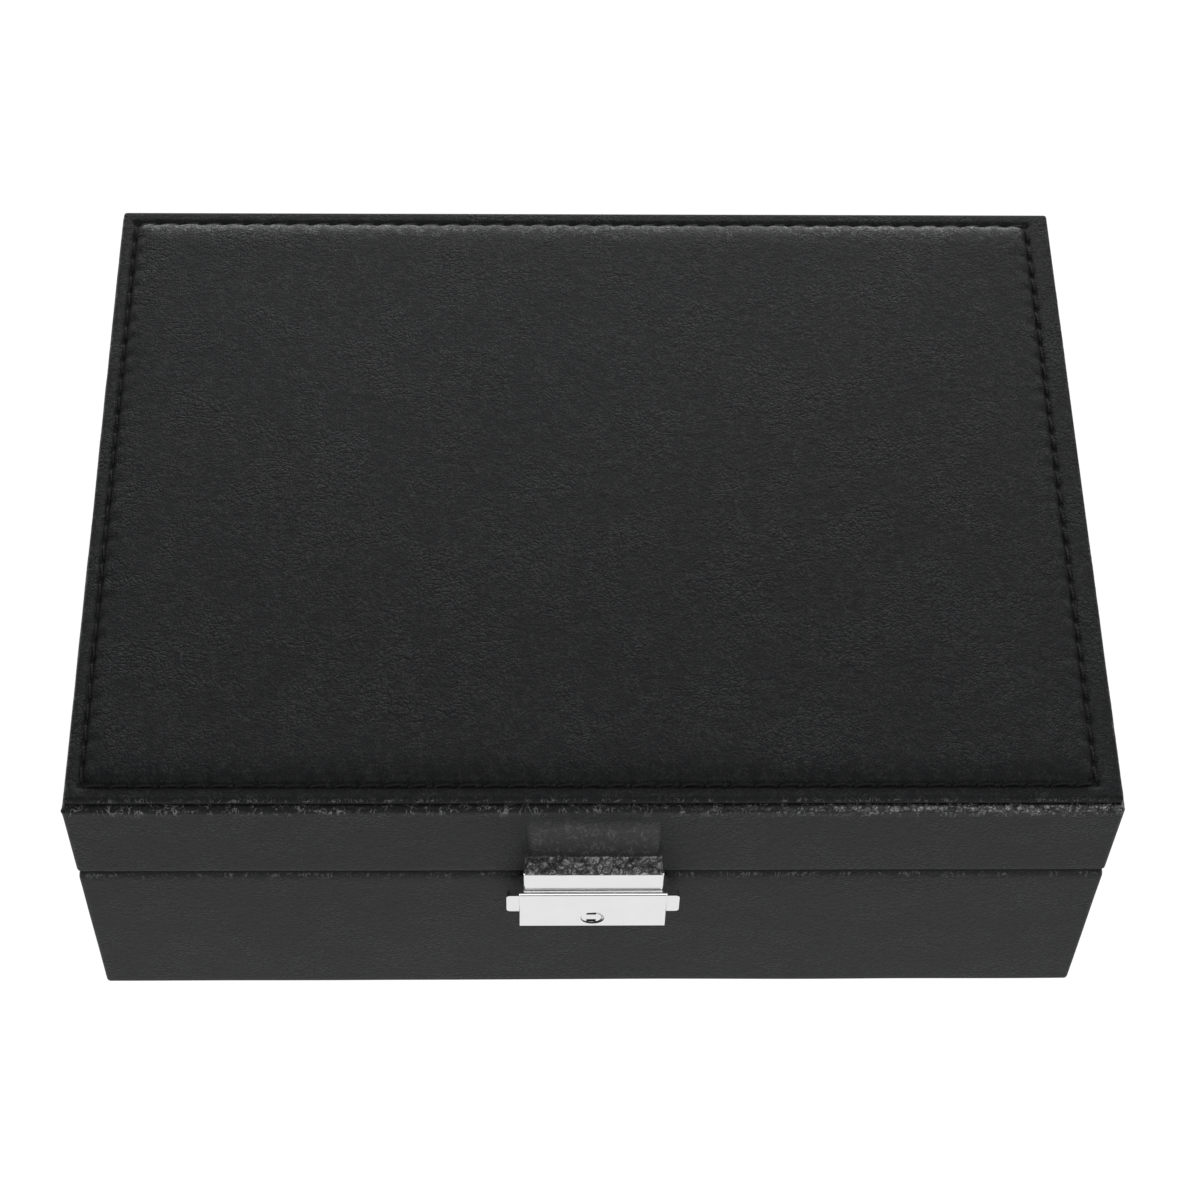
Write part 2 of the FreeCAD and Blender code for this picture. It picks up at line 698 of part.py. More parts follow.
def make_lock_housing():
    body = new_body("lock_housing")
    tall = ("lock_low", "lock_high")
    half = "lock_width / 2"
    pad(body, "XZ_Plane", (LOCK_FRONT, LOCK_BACK), lambda s: draw_rectangle(s, both(half), tall))
    front = number(LOCK_FRONT)
    soften(body, "Fillet", "lock_round", lambda e: abs(e.BoundBox.YMax - front) < SAME)
    cavity = (CAVITY_LOW, CAVITY_HIGH)
    pocket(body, "XZ_Plane", (CAVITY_FRONT, LOCK_BACK), lambda s: draw_rectangle(s, both(CAVITY_X), cavity))

    def barrel_and_posts(sketch):
        draw_circle(sketch, KEY_AXIS, "plug_radius + plug_play + barrel_wall")
        for x in lock_screw_places():
            draw_circle(sketch, (x, "post_height"), "post_radius")

    pad(body, "XZ_Plane", (CAVITY_FRONT, f"{PLATE_FRONT} - post_short"), barrel_and_posts)

    def ribs(sketch):
        for way in SIDES.values():
            rib = around(f"{way} * rib_place", "rib_thick / 2")
            draw_rectangle(sketch, rib, (CAVITY_LOW, "spring_height + rib_rise"))

    pad(body, "XZ_Plane", (CAVITY_FRONT, f"{PLATE_FRONT} - rib_short"), ribs)

    def bores(sketch):
        for x in lock_screw_places():
            draw_circle(sketch, (x, "post_height"), "screw_radius + screw_play")

    pocket(body, "XZ_Plane", (f"{CAVITY_FRONT} + bore_cap", LOCK_BACK), bores)
    mouth_end = f"({LOCK_FRONT} + mouth_depth)"
    mouth = (f"{LOCK_FRONT} - 1", mouth_end)
    pocket(body, "XZ_Plane", mouth, lambda s: draw_circle(s, ("0", "key_height"), "mouth_radius"))
    bearing = (mouth_end, LOCK_BACK)
    pocket(body, "XZ_Plane", bearing, lambda s: draw_circle(s, KEY_AXIS, "plug_radius + plug_play"))
    ear_y = (f"-({HALF_Y} + ear_front + slider_play)", f"-({HALF_Y} + ear_back - slider_play)")
    ear_z = ("ear_low - slider_play", "ear_high + slider_play")
    pocket(body, "YZ_Plane", both(f"{half} + 1"), lambda s: draw_rectangle(s, ear_y, ear_z))
    slot_x = both("tongue_width / 2 + tongue_play")
    slot_y = (f"{TONGUE_FRONT} - tongue_play", f"{TONGUE_BACK} + tongue_play")
    pocket(body, "XY_Plane", (CAVITY_HIGH, "lock_high + 1"), lambda s: draw_rectangle(s, slot_x, slot_y))


def make_lock_plate():
    upright = (f"{CAVITY_LOW} + plate_play", f"{CAVITY_HIGH} - plate_play")
    plate = block(both(f"{CAVITY_X} - plate_play"), (PLATE_FRONT, LOCK_BACK), upright)
    holes = [
        rod("screw_radius + screw_play", "lock_plate + 2", (x, f"{PLATE_FRONT} - 1", "post_height"), "y")
        for x in lock_screw_places()
    ]
    keep(less(plate, holes), "lock_back_plate")


def make_latch_sliders():
    """Each slider reaches past the hasp's tongue to its far side, so pushing its ear in frees the tongue."""
    upper = f"({CAVITY_HIGH} - slider_rise)"
    levels = {
        "left": (f"{upper} - slider_thick", upper),
        "right": (f"{upper} - 2 * slider_thick - slider_gap", f"{upper} - slider_thick - slider_gap"),
    }
    stop_face = f"({CAVITY_X} - stop_play)"
    ear_out = "(lock_width / 2 + ear_reach)"
    ear_y = (minus(f"{HALF_Y} + ear_front"), minus(f"{HALF_Y} + ear_back"))
    deep = (f"{CAVITY_FRONT} + slider_front", f"{PLATE_FRONT} - slider_back")
    window_y = (f"{TONGUE_FRONT} - tongue_play", f"{TONGUE_BACK} + tongue_play")
    for side, way in SIDES.items():
        body = new_body(f"{side}_latch_slider")

        def across(near, far, way=way):
            """A span in X from the ear's side towards the other."""
            return (minus(near), minus(far)) if way < 0 else (far, near)

        ear = across(ear_out, LEG_X)
        pad(body, "YZ_Plane", ear, lambda s: draw_rectangle(s, ear_y, ("ear_low", "ear_high")))
        rim = across(stop_face, LEG_X)
        leg = (f"{CAVITY_LOW} + slider_rise", f"{CAVITY_HIGH} - slider_rise")
        pad(body, "YZ_Plane", rim, lambda s: draw_rectangle(s, deep, leg))
        reach = across(LEG_X, minus("slider_reach"))
        pad(body, "XY_Plane", levels[side], lambda s: draw_rectangle(s, reach, deep))
        window = across("tongue_width / 2 + window_run", minus("tongue_width / 2 + window_grip"))
        pocket(body, "XY_Plane", levels[side], lambda s: draw_rectangle(s, window, window_y))
        outer = way * number(ear_out)
        corner = lambda e: abs(e.BoundBox.Center.x - outer) < SAME and e.BoundBox.YLength > SAME
        soften(body, "Fillet", "ear_round", corner)


def make_latch_springs():
    """Compression springs between each slider's leg and a rib of the housing."""
    inner_end = "(rib_place + rib_thick / 2 + spring_wire / 2 + spring_play)"
    outer_end = f"({LEG_X} - spring_wire / 2 - spring_play)"
    for side, way in SIDES.items():
        body = new_body(f"{side}_latch_spring")
        sketch = new_sketch(body, "XZ_Plane", SPRING_Y)
        sketch.setExpression(".AttachmentOffset.Base.y", linked("spring_height"))
        start = minus(outer_end) if way < 0 else inner_end
        sketch.setExpression(".AttachmentOffset.Base.x", linked(start))
        draw_circle(sketch, ("0", "spring_radius"), "spring_wire / 2")
        coil = body.newObject("PartDesign::AdditiveHelix", "Helix")
        coil.Profile = sketch
        coil.ReferenceAxis = (sketch, ["H_Axis"])
        coil.Mode = 0  # pitch and height
        coil.setExpression("Height", linked(f"{outer_end} - {inner_end}"))
        coil.setExpression("Pitch", linked(f"({outer_end} - {inner_end}) / spring_turns"))
        body.Tip = coil
        doc.recompute()


def make_lock_plug():
    plug = new_body("lock_cylinder")
    pad(plug, "XZ_Plane", (NOSE_END, PLUG_BACK), lambda s: draw_circle(s, KEY_AXIS, "plug_radius"))
    pad(plug, "XZ_Plane", (PLUG_FRONT, NOSE_END), lambda s: draw_circle(s, KEY_AXIS, "nose_radius"))

    def keyway(sketch):
        across = around("key_place", "keyway_width / 2")
        draw_rectangle(sketch, across, ("key_height + bridge_high", "key_height + keyway_reach"))
        draw_rectangle(sketch, across, ("key_height - keyway_reach", "key_height - bridge_low"))

    pocket(plug, "XZ_Plane", (PLUG_FRONT, f"{PLUG_FRONT} + keyway_depth"), keyway)

    cam = new_body("lock_cam")
    depth = (PLUG_BACK, f"{PLUG_BACK} + cam_thick")
    upright = (around("key_place", "cam_width / 2"), around("key_height", "cam_length / 2"))
    pad(cam, "XZ_Plane", depth, lambda s: draw_rectangle(s, *upright))
    soften(cam, "Fillet", "cam_round", lambda e: e.BoundBox.YLength > SAME)


def make_lock_screws():
    """Two screws pass from inside the case through its front board into the housing's posts."""
    screws = []
    for x in lock_screw_places():
        head = rod("screw_head", "head_deep - head_set", (x, SCREW_SEAT, "post_height"), "y")
        shank = rod("screw_radius", f"{SCREW_SEAT} - {SCREW_TIP}", (x, SCREW_SEAT, "post_height"), "-y")
        slot_depth = (minus(f"{INNER_Y} + drive_depth"), minus(INNER_Y))
        drive = block(around(x, "drive_length / 2"), slot_depth, around("post_height", "drive_width / 2"))
        screws.append(less(joined([head, shank]), [drive]))
    keep(joined(screws), "lock_mounting_screws")


# ---------------------------------------------------------------------------------------------
# Hasp on the lid's front
# ---------------------------------------------------------------------------------------------
def make_hasp():
    body = new_body("hasp_plate")
    proud, root = minus(f"{HALF_Y} + hasp_proud"), minus(f"{HALF_Y} + hasp_clear")
    across = both("hasp_width / 2")
    pad(body, "XZ_Plane", (proud, root), lambda s: draw_rectangle(s, across, ("hasp_low", "hasp_high")))
    front = number(proud)
    soften(body, "Fillet", "hasp_round", lambda e: abs(e.BoundBox.YMax - front) < SAME)
    pad(body, "XZ_Plane", (root, LOCK_BACK), lambda s: draw_rectangle(s, across, (LID_RIM, "hasp_high")))
    flange = (both("flange_width / 2"), ("flange_low", "flange_high"))
    pad(body, "XZ_Plane", (LOCK_BACK, minus(SHELL_Y)), lambda s: draw_rectangle(s, *flange))
    tongue_y = (TONGUE_FRONT, TONGUE_BACK)
    half = "tongue_width / 2"
    pad(
        body,
        "XY_Plane",
        ("tongue_low", "hasp_low"),
        lambda s: draw_rectangle(s, both(half), tongue_y),
    )

    def notches(sketch):
        edge, root = f"{half} + 1", f"{half} - notch_depth"
        level = ("tongue_low + notch_rise", f"{CAVITY_HIGH} - notch_short")
        draw_rectangle(sketch, (minus(edge), minus(root)), level)
        draw_rectangle(sketch, (root, edge), level)

    pocket(body, "XZ_Plane", (f"{TONGUE_FRONT} - 1", f"{TONGUE_BACK} + 1"), notches)

    def screw_holes(sketch):
        for x in both("hasp_screw_place"):
            draw_circle(sketch, (x, "hasp_screw_height"), "leaf_screw_head")

    pocket(body, "XZ_Plane", (LOCK_BACK, minus(SHELL_Y)), screw_holes)

    screws = []
    for x in both("hasp_screw_place"):
        head = rod("leaf_screw_head - screw_play", "skin", (x, LOCK_BACK, "hasp_screw_height"), "y")
        shank_start = (x, minus(SHELL_Y), "hasp_screw_height")
        shank = rod("leaf_screw_radius - screw_play", "lid_board - hasp_screw_short", shank_start, "y")
        screws.append(joined([head, shank]))
    keep(joined(screws), "hasp_screws")


def make_strap():
    body = new_body("hasp_strap")
    face = minus(HALF_Y)
    skin_face = minus(f"{HALF_Y} + strap_thick")
    nose = minus(f"{HALF_Y} + hasp_proud")
    top = "hasp_high + strap_thick"
    outline = [
        (face, "hasp_high"),
        (face, "lid_shoulder - strap_drop"),
        (skin_face, "lid_shoulder - strap_drop"),
        (skin_face, top),
        (nose, top),
        (nose, "hasp_high"),
    ]
    pad(body, "YZ_Plane", both("strap_width / 2"), lambda s: draw_outline(s, outline))


# ---------------------------------------------------------------------------------------------
# Hinges
# ---------------------------------------------------------------------------------------------
def knuckle_span(side, index):
    pitch = f"(hinge_width / {KNUCKLES})"
    middle = f"({hinge_middle(side)} + ({index} - {(KNUCKLES - 1) / 2}) * {pitch})"
    return around(middle, f"{pitch} / 2 - knuckle_play")


def leaf_screw_holes(surface, inward):
    """Countersunk holes through a leaf, from its open surface."""
    shapes = []
    for x in leaf_screw_places():
        start = (x, LEAF_SCREW_Y, surface)
        shapes.append(cone("leaf_screw_head", "leaf_screw_radius", "leaf_thick", start, inward))
    return shapes


def make_hinge_leaf(side, part):
    low, high, surface, inward, inner, knuckles = {
        "base": (BASE_WALL_TOP, "base_rim", "base_rim", "-z", INNER_Y, range(0, KNUCKLES, 2)),
        "lid": (LID_RIM, LID_WALL_LOW, LID_RIM, "z", LID_INNER_Y, range(1, KNUCKLES, 2)),
    }[part]
    pieces = [block(leaf_span(side), (f"{inner} + leaf_play", HALF_Y), (low, high))]
    for index in knuckles:
        across = knuckle_span(side, index)
        pieces.append(block(across, (f"{HALF_Y} - 1", HINGE_Y), (low, high)))
        start = (across[0], HINGE_Y, HINGE_Z)
        pieces.append(rod("knuckle_radius", f"({across[1]}) - ({across[0]})", start, "x"))
    bore_start = (f"{leaf_span(side)[0]} - 1", HINGE_Y, HINGE_Z)
    bore = rod("pin_radius + pin_play", "hinge_width + 2", bore_start, "x")
    keep(less(joined(pieces), [bore] + leaf_screw_holes(surface, inward)), f"{side}_hinge_{part}_leaf")


def make_hinge_screws(part):
    surface, reach, inward = {
        "base": ("base_rim", BASE_WALL_TOP, "-z"),
        "lid": (LID_RIM, LID_WALL_LOW, "z"),
    }[part]
    screws = []
    for x in leaf_screw_places():
        radii = ("leaf_screw_head - screw_play", "leaf_screw_radius - screw_play")
        head = cone(*radii, "leaf_thick", (x, LEAF_SCREW_Y, surface), inward)
        shank = rod(radii[1], "leaf_screw_length", (x, LEAF_SCREW_Y, reach), inward)
        screws.append(joined([head, shank]))
    keep(joined(screws), f"hinge_{part}_screws")


def make_hinges():
    for side in SIDES:
        make_hinge_leaf(side, "base")
        make_hinge_leaf(side, "lid")
        start = (f"{leaf_span(side)[0]} - pin_overhang", HINGE_Y, HINGE_Z)
        keep(rod("pin_radius", "hinge_width + 2 * pin_overhang", start, "x"), f"{side}_hinge_pin")
    make_hinge_screws("base")
    make_hinge_screws("lid")


# ---------------------------------------------------------------------------------------------
# Build, check and write
# ---------------------------------------------------------------------------------------------
make_base_shell()
make_base_lining()
make_lower_compartments()
make_tray()
make_ring_rolls()
make_lift_tabs()
make_lid_shell()
make_lid_lining()
make_mirror()
make_padded_panel()
make_lock_housing()
make_lock_plate()
make_latch_sliders()
make_latch_springs()
make_lock_plug()
make_lock_screws()
make_hasp()
make_strap()
make_hinges()
doc.recompute()

failed = [item.Label for item in doc.Objects if "Invalid" in item.State or "Error" in item.State]
failed += [item.Label for item in kept if item.Shape.isNull() or not item.Shape.isValid()]
if failed:
    raise ValueError(f"these failed: {failed}")

os.makedirs("parts", exist_ok=True)
for item in kept:
    item.Shape.exportStep(f"parts/{item.Label}.step")
    box = item.Shape.BoundBox
    solids = len(item.Shape.Solids)
    print(f"{item.Label}: {solids} solid(s), {box.XLength:.1f} x {box.YLength:.1f} x {box.ZLength:.1f} mm")
print(len(kept), "sub-parts")
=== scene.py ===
import json
import math
import random

import bpy
import numpy as np
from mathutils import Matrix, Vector, noise


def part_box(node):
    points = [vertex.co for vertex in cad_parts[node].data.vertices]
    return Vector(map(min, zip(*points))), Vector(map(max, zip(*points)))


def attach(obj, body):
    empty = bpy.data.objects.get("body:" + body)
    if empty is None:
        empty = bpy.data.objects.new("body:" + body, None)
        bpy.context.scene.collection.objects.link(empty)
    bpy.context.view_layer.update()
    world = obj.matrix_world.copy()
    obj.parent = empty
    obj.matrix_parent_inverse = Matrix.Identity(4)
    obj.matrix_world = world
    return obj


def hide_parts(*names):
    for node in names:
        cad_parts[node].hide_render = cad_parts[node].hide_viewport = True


# The looks of a jewelry gift box, built around its fixed frame. Metres; shapes are given in millimetres
# and turned into metres by MM. X runs to the right, Y to the back and Z up.

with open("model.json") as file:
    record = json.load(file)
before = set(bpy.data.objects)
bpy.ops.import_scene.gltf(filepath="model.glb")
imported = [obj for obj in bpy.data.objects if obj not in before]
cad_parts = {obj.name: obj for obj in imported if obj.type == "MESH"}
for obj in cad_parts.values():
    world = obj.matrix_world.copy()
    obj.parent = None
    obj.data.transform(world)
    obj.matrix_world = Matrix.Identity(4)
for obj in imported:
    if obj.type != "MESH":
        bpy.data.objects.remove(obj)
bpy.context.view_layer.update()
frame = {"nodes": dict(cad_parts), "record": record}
nodes = frame["nodes"]
MM = 0.001
SEED = 7


def size_of(node):
    """Lowest and highest corner of a CAD node, in millimetres."""
    low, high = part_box(node)
    return np.array(low) / MM, np.array(high) / MM


# ---------------------------------------------------------------------------------------------
# Camera, floor and light
# ---------------------------------------------------------------------------------------------
CAMERA_PLACE = (-14.3, -391.4, 621.8)
CAMERA_TILT = math.radians(33.95)
CAMERA_ROLL = math.radians(-1.285)
CAMERA_LENS = 86.94


def make_camera():
    data = bpy.data.cameras.new("camera")
    data.sensor_width = 36
    data.lens = CAMERA_LENS
    data.clip_start = 0.01
    camera = bpy.data.objects.new("camera", data)
    camera.location = Vector(CAMERA_PLACE) * MM
    camera.rotation_mode = "YXZ"
    camera.rotation_euler = (CAMERA_TILT, CAMERA_ROLL, 0)
    bpy.context.scene.collection.objects.link(camera)
    bpy.context.scene.camera = camera


def make_floor():
    """A wide white floor that turns up nowhere, so it looks the same from every side."""
    rim = [(math.cos(a), math.sin(a)) for a in np.linspace(0, 2 * math.pi, 65)[:-1]]
    radius = 4.0
    points = [(radius * x, radius * y, 0) for x, y in rim]
    mesh = bpy.data.meshes.new("floor")
    mesh.from_pydata(points, [], [range(len(points))])
    floor = bpy.data.objects.new("floor", mesh)
    bpy.context.scene.collection.objects.link(floor)
    mesh.materials.append(floor_material())


# The bright backdrop lies behind the box, a little to the right.
GLOW = Vector((0.12, 0.95, 0.28)).normalized()


def make_world():
    """A white backdrop behind the box in an otherwise dim room."""
    world = bpy.data.worlds.new("studio")
    bpy.context.scene.world = world
    world.use_nodes = True
    tree = world.node_tree
    background = tree.nodes["Background"]
    direction = put(tree, "ShaderNodeTexCoord").outputs["Generated"]
    toward = put(tree, "ShaderNodeVectorMath", {0: direction, 1: GLOW}, operation="DOT_PRODUCT")
    facing = toward.outputs["Value"]
    ramp = put(tree, "ShaderNodeValToRGB", {"Fac": ramped(tree, facing, -0.2, 1.0, curve="LINEAR")})
    stops = [(0.0, 0.16), (0.45, 0.3), (0.8, 0.62), (0.95, 1.2), (1.0, 1.7)]
    elements = ramp.color_ramp.elements
    for _ in stops[2:]:
        elements.new(0.5)
    for element, (place, tone) in zip(elements, stops):
        element.position, element.color = place, (tone, tone, 1.02 * tone, 1)
    tree.links.new(ramp.outputs["Color"], background.inputs["Color"])
    background.inputs["Strength"].default_value = 1.0


def make_light(name, place, aim, width, height, power):
    data = bpy.data.lights.new(name, "AREA")
    data.shape = "RECTANGLE"
    data.size, data.size_y = width, height
    data.energy = power
    light = bpy.data.objects.new(name, data)
    light.location = place
    light.rotation_euler = (Vector(aim) - Vector(place)).to_track_quat("-Z", "Y").to_euler()
    bpy.context.scene.collection.objects.link(light)


def make_lights():
    make_light("front_softbox", (0.25, -1.1, 1.5), (0, 0, 0.05), 1.2, 0.9, 8)
    make_light("back_strip", (0.0, 1.3, 0.46), (0, 0.05, 0.08), 1.5, 0.2, 8)
    make_light("edge_strip", (0.55, -1.1, 0.85), (0.05, -0.08, 0.08), 0.6, 0.16, 3)


# ---------------------------------------------------------------------------------------------
# Material building blocks
# ---------------------------------------------------------------------------------------------
def new_material(name):
    material = bpy.data.materials.new(name)
    material.use_nodes = True
    return material, material.node_tree, material.node_tree.nodes["Principled BSDF"]


def put(tree, kind, sources=None, **settings):
    """A node with its properties set and its inputs linked or set: sources is {input: socket or value}."""
    node = tree.nodes.new(kind)
    for name, value in settings.items():
        setattr(node, name, value)
    for name, source in (sources or {}).items():
        if isinstance(source, bpy.types.NodeSocket):
            tree.links.new(source, node.inputs[name])
        else:
            node.inputs[name].default_value = source
    return node


def coordinates(tree, stretch=(1, 1, 1), turn=(0, 0, 0)):
    """Object coordinates in metres, stretched and turned."""
    place = put(tree, "ShaderNodeTexCoord").outputs["Object"]
    return put(tree, "ShaderNodeMapping", {"Vector": place, "Scale": stretch, "Rotation": turn}).outputs[0]


def wobbled(tree, place, size, amount):
    """Coordinates pushed about by a soft noise, so that what they draw looks grown."""
    soft = put(tree, "ShaderNodeTexNoise", {"Vector": place, "Scale": 1 / size, "Detail": 2.0})
    middle_tone = (0.5, 0.5, 0.5)
    centred = put(tree, "ShaderNodeVectorMath", {0: soft.outputs["Color"], 1: middle_tone}, operation="SUBTRACT")
    push = put(tree, "ShaderNodeVectorMath", {0: centred.outputs[0], "Scale": amount}, operation="SCALE")
    return put(tree, "ShaderNodeVectorMath", {0: place, 1: push.outputs[0]}, operation="ADD").outputs[0]


def ramped(tree, value, low, high, to_low=0.0, to_high=1.0, curve="SMOOTHSTEP"):
    """A value mapped smoothly from one range to another."""
    node = put(
        tree,
        "ShaderNodeMapRange",
        {"Value": value, "From Min": low, "From Max": high, "To Min": to_low, "To Max": to_high},
        interpolation_type=curve,
    )
    return node.outputs[0]


def arithmetic(tree, operation, first, second):
    return put(tree, "ShaderNodeMath", {0: first, 1: second}, operation=operation).outputs[0]


def product(tree, first, second):
    return arithmetic(tree, "MULTIPLY", first, second)


def total(tree, first, second):
    return arithmetic(tree, "ADD", first, second)


def creases(tree, place, cell, width):
    """0 in the creases between cells of that size, 1 on the cells."""
    cells = put(tree, "ShaderNodeTexVoronoi", {"Vector": place, "Scale": 1 / cell}, feature="DISTANCE_TO_EDGE")
    return ramped(tree, cells.outputs["Distance"], 0.0, width)


def soft_noise(tree, place, size, detail=3.0):
    texture = put(tree, "ShaderNodeTexNoise", {"Vector": place, "Scale": 1 / size, "Detail": detail})
    return texture.outputs["Fac"]


def blended(tree, factor, first, second):
    """A colour between two, by a factor."""
    node = put(tree, "ShaderNodeMix", {0: factor}, data_type="RGBA")
    for index, source in ((6, first), (7, second)):
        if isinstance(source, bpy.types.NodeSocket):
            tree.links.new(source, node.inputs[index])
        else:
            node.inputs[index].default_value = (*source, 1)
    return node.outputs[2]


def bumped(tree, shader, height, depth, strength=1.0):
    bump = put(tree, "ShaderNodeBump", {"Height": height, "Distance": depth, "Strength": strength})
    tree.links.new(bump.outputs[0], shader.inputs["Normal"])


# ---------------------------------------------------------------------------------------------
# Materials
# ---------------------------------------------------------------------------------------------
def floor_material():
    material, tree, shader = new_material("white_floor")
    mottle = soft_noise(tree, coordinates(tree), 0.5)
    tree.links.new(blended(tree, mottle, (0.03, 0.03, 0.03), (0.05, 0.05, 0.05)), shader.inputs["Base Color"])
    shader.inputs["Roughness"].default_value = 0.9
    shader.inputs["Specular IOR Level"].default_value = 0.1
    shader.inputs["Emission Color"].default_value = (1, 1, 1, 1)
    shader.inputs["Emission Strength"].default_value = 1.0
    return material


def leather_material(name, cell, depth, tones, stretched, roughness, scuff_and_highlight):
    """Black embossed leather: uneven grain, patches of thin creases, a few long folds and a soft sheen.

    An attribute of the mesh marks where the skin is pulled over an edge, and a band behind the padded panel's back
    seam. The skin is finely wrinkled there, and where the attribute nears 1 its grain turns glossy.
    Wrinkles and that grain are blended to a light colour, which is partly scuffing and partly painted highlight and
    glints.
    """
    material, tree, shader = new_material(name)
    wear_and_highlight = put(tree, "ShaderNodeAttribute", attribute_name="wear_and_highlight").outputs["Fac"]
    place = wobbled(tree, coordinates(tree), 2.6 * cell, 1.1 * cell)
    cells = creases(tree, place, cell, 0.2)
    small = creases(tree, wobbled(tree, place, 0.5 * cell, 0.3 * cell), 0.5 * cell, 0.25)
    slanted = wobbled(tree, coordinates(tree, (1.0, 0.3, 1.0), (0, 0, 0.6)), 6 * cell, 3.5 * cell)
    folds = creases(tree, slanted, 3.2 * cell, 0.03)
    fine = soft_noise(tree, place, 0.22 * cell)
    hills = soft_noise(tree, place, 1.1 * cell)
    patchy = ramped(tree, soft_noise(tree, coordinates(tree), 9 * cell), 0.4, 0.65, 0.25, 1.0)
    height = product(tree, product(tree, cells, patchy), 0.3)
    for layer, share in ((small, 0.14), (folds, 0.1), (fine, 0.12), (hills, 0.5)):
        height = total(tree, height, product(tree, layer, share))
    streaks = soft_noise(tree, coordinates(tree, (1, 1, 0.3), (0, 0.35, 0)), 1.1 * MM, 3.0)
    off_line = arithmetic(tree, "ABSOLUTE", arithmetic(tree, "SUBTRACT", streaks, 0.5), 0.0)
    lines = ramped(tree, off_line, 0.0, 0.05, 1.0, 0.0)
    here = ramped(tree, soft_noise(tree, coordinates(tree), 2.2 * MM), 0.42, 0.6)
    strained = product(tree, wear_and_highlight, ramped(tree, wear_and_highlight, 0.55, 0.8, 1.0, 0.0))
    wrinkles = product(tree, product(tree, lines, here), strained)
    # Glossy grain where the attribute nears 1; below it is also lightened in colour, partly scuffing and partly
    # painted highlight.
    polished_and_highlit = product(tree, ramped(tree, wear_and_highlight, 0.6, 1.0), ramped(tree, hills, 0.36, 0.6, 0.15))
    relief = total(tree, height, product(tree, wrinkles, 1.2))
    bumped(tree, shader, relief, depth)
    patches = soft_noise(tree, coordinates(tree), 0.045)
    tone = total(tree, product(tree, height, 0.5), product(tree, patches, 0.4))
    grain = product(tree, ramped(tree, cells, 0.0, 1.0, 0.25), ramped(tree, small, 0.0, 1.0, 0.5))
    rubbed_and_highlit = product(tree, product(tree, polished_and_highlit, grain), ramped(tree, fine, 0.35, 0.65, 0.2))
    worn_and_highlit = arithmetic(tree, "MAXIMUM", wrinkles, rubbed_and_highlit)
    pulled = ramped(tree, wear_and_highlight, 0.0, 0.08)
    skin = blended(tree, pulled, blended(tree, tone, *tones), blended(tree, tone, *stretched))
    # The light colour blended in here is partly scuffing and partly painted highlight and glints.
    tree.links.new(blended(tree, worn_and_highlit, skin, scuff_and_highlight), shader.inputs["Base Color"])
    rough = ramped(tree, height, 0.4, 1.4, roughness + 0.1, roughness - 0.06)
    rough = total(tree, rough, product(tree, patches, 0.06))
    rough = arithmetic(tree, "SUBTRACT", rough, product(tree, wear_and_highlight, 0.2))
    tree.links.new(rough, shader.inputs["Roughness"])
    gleam = total(tree, product(tree, product(tree, cells, small), 0.06), 0.21)
    gleam = total(tree, gleam, product(tree, worn_and_highlit, 0.5))
    tree.links.new(gleam, shader.inputs["Specular IOR Level"])
    shader.inputs["Specular Tint"].default_value = (0.96, 0.98, 1.0, 1)
    return material


def thread_material():
    material, tree, shader = new_material("waxed_thread")
    strands = put(
        tree, "ShaderNodeTexWave", {"Vector": coordinates(tree), "Scale": 900.0, "Distortion": 3.0, "Detail": 2.0}
    )
    fibres = strands.outputs["Fac"]
    shade = blended(tree, fibres, (0.002, 0.002, 0.0022), (0.016, 0.016, 0.0165))
    tree.links.new(shade, shader.inputs["Base Color"])
    bumped(tree, shader, fibres, 0.03 * MM)
    shader.inputs["Roughness"].default_value = 0.5
    shader.inputs["Specular IOR Level"].default_value = 0.3
    return material


def chrome_material():
    material, tree, shader = new_material("bright_chrome")
    place = coordinates(tree)
    smudges = soft_noise(tree, place, 6 * MM)
    grain = soft_noise(tree, coordinates(tree, (1, 1, 12)), 0.5 * MM)
    tree.links.new(blended(tree, smudges, (0.72, 0.72, 0.72), (0.78, 0.78, 0.785)), shader.inputs["Base Color"])
    tree.links.new(ramped(tree, smudges, 0.2, 0.8, 0.07, 0.16), shader.inputs["Roughness"])
    bumped(tree, shader, grain, 0.004 * MM, 0.5)
    shader.inputs["Metallic"].default_value = 1.0
    return material


def plated_material():
    """Nickel-plated steel of the hinges, springs and screws."""
    material, tree, shader = new_material("nickel_plate")
    place = coordinates(tree)
    brushed = soft_noise(tree, coordinates(tree, (0.15, 1, 1)), 0.35 * MM)
    stains = soft_noise(tree, place, 4 * MM)
    tree.links.new(blended(tree, stains, (0.5, 0.49, 0.47), (0.68, 0.67, 0.65)), shader.inputs["Base Color"])
    tree.links.new(ramped(tree, brushed, 0.3, 0.7, 0.22, 0.38), shader.inputs["Roughness"])
    bumped(tree, shader, brushed, 0.01 * MM, 0.6)
    shader.inputs["Metallic"].default_value = 1.0
    return material


def mirror_material():
    material, tree, shader = new_material("silvered_glass")
    haze = soft_noise(tree, coordinates(tree), 18 * MM)
    tree.links.new(blended(tree, haze, (0.88, 0.91, 0.9), (0.92, 0.94, 0.935)), shader.inputs["Base Color"])
    tree.links.new(ramped(tree, haze, 0.3, 0.8, 0.015, 0.04), shader.inputs["Roughness"])
    shader.inputs["Metallic"].default_value = 1.0
    return material


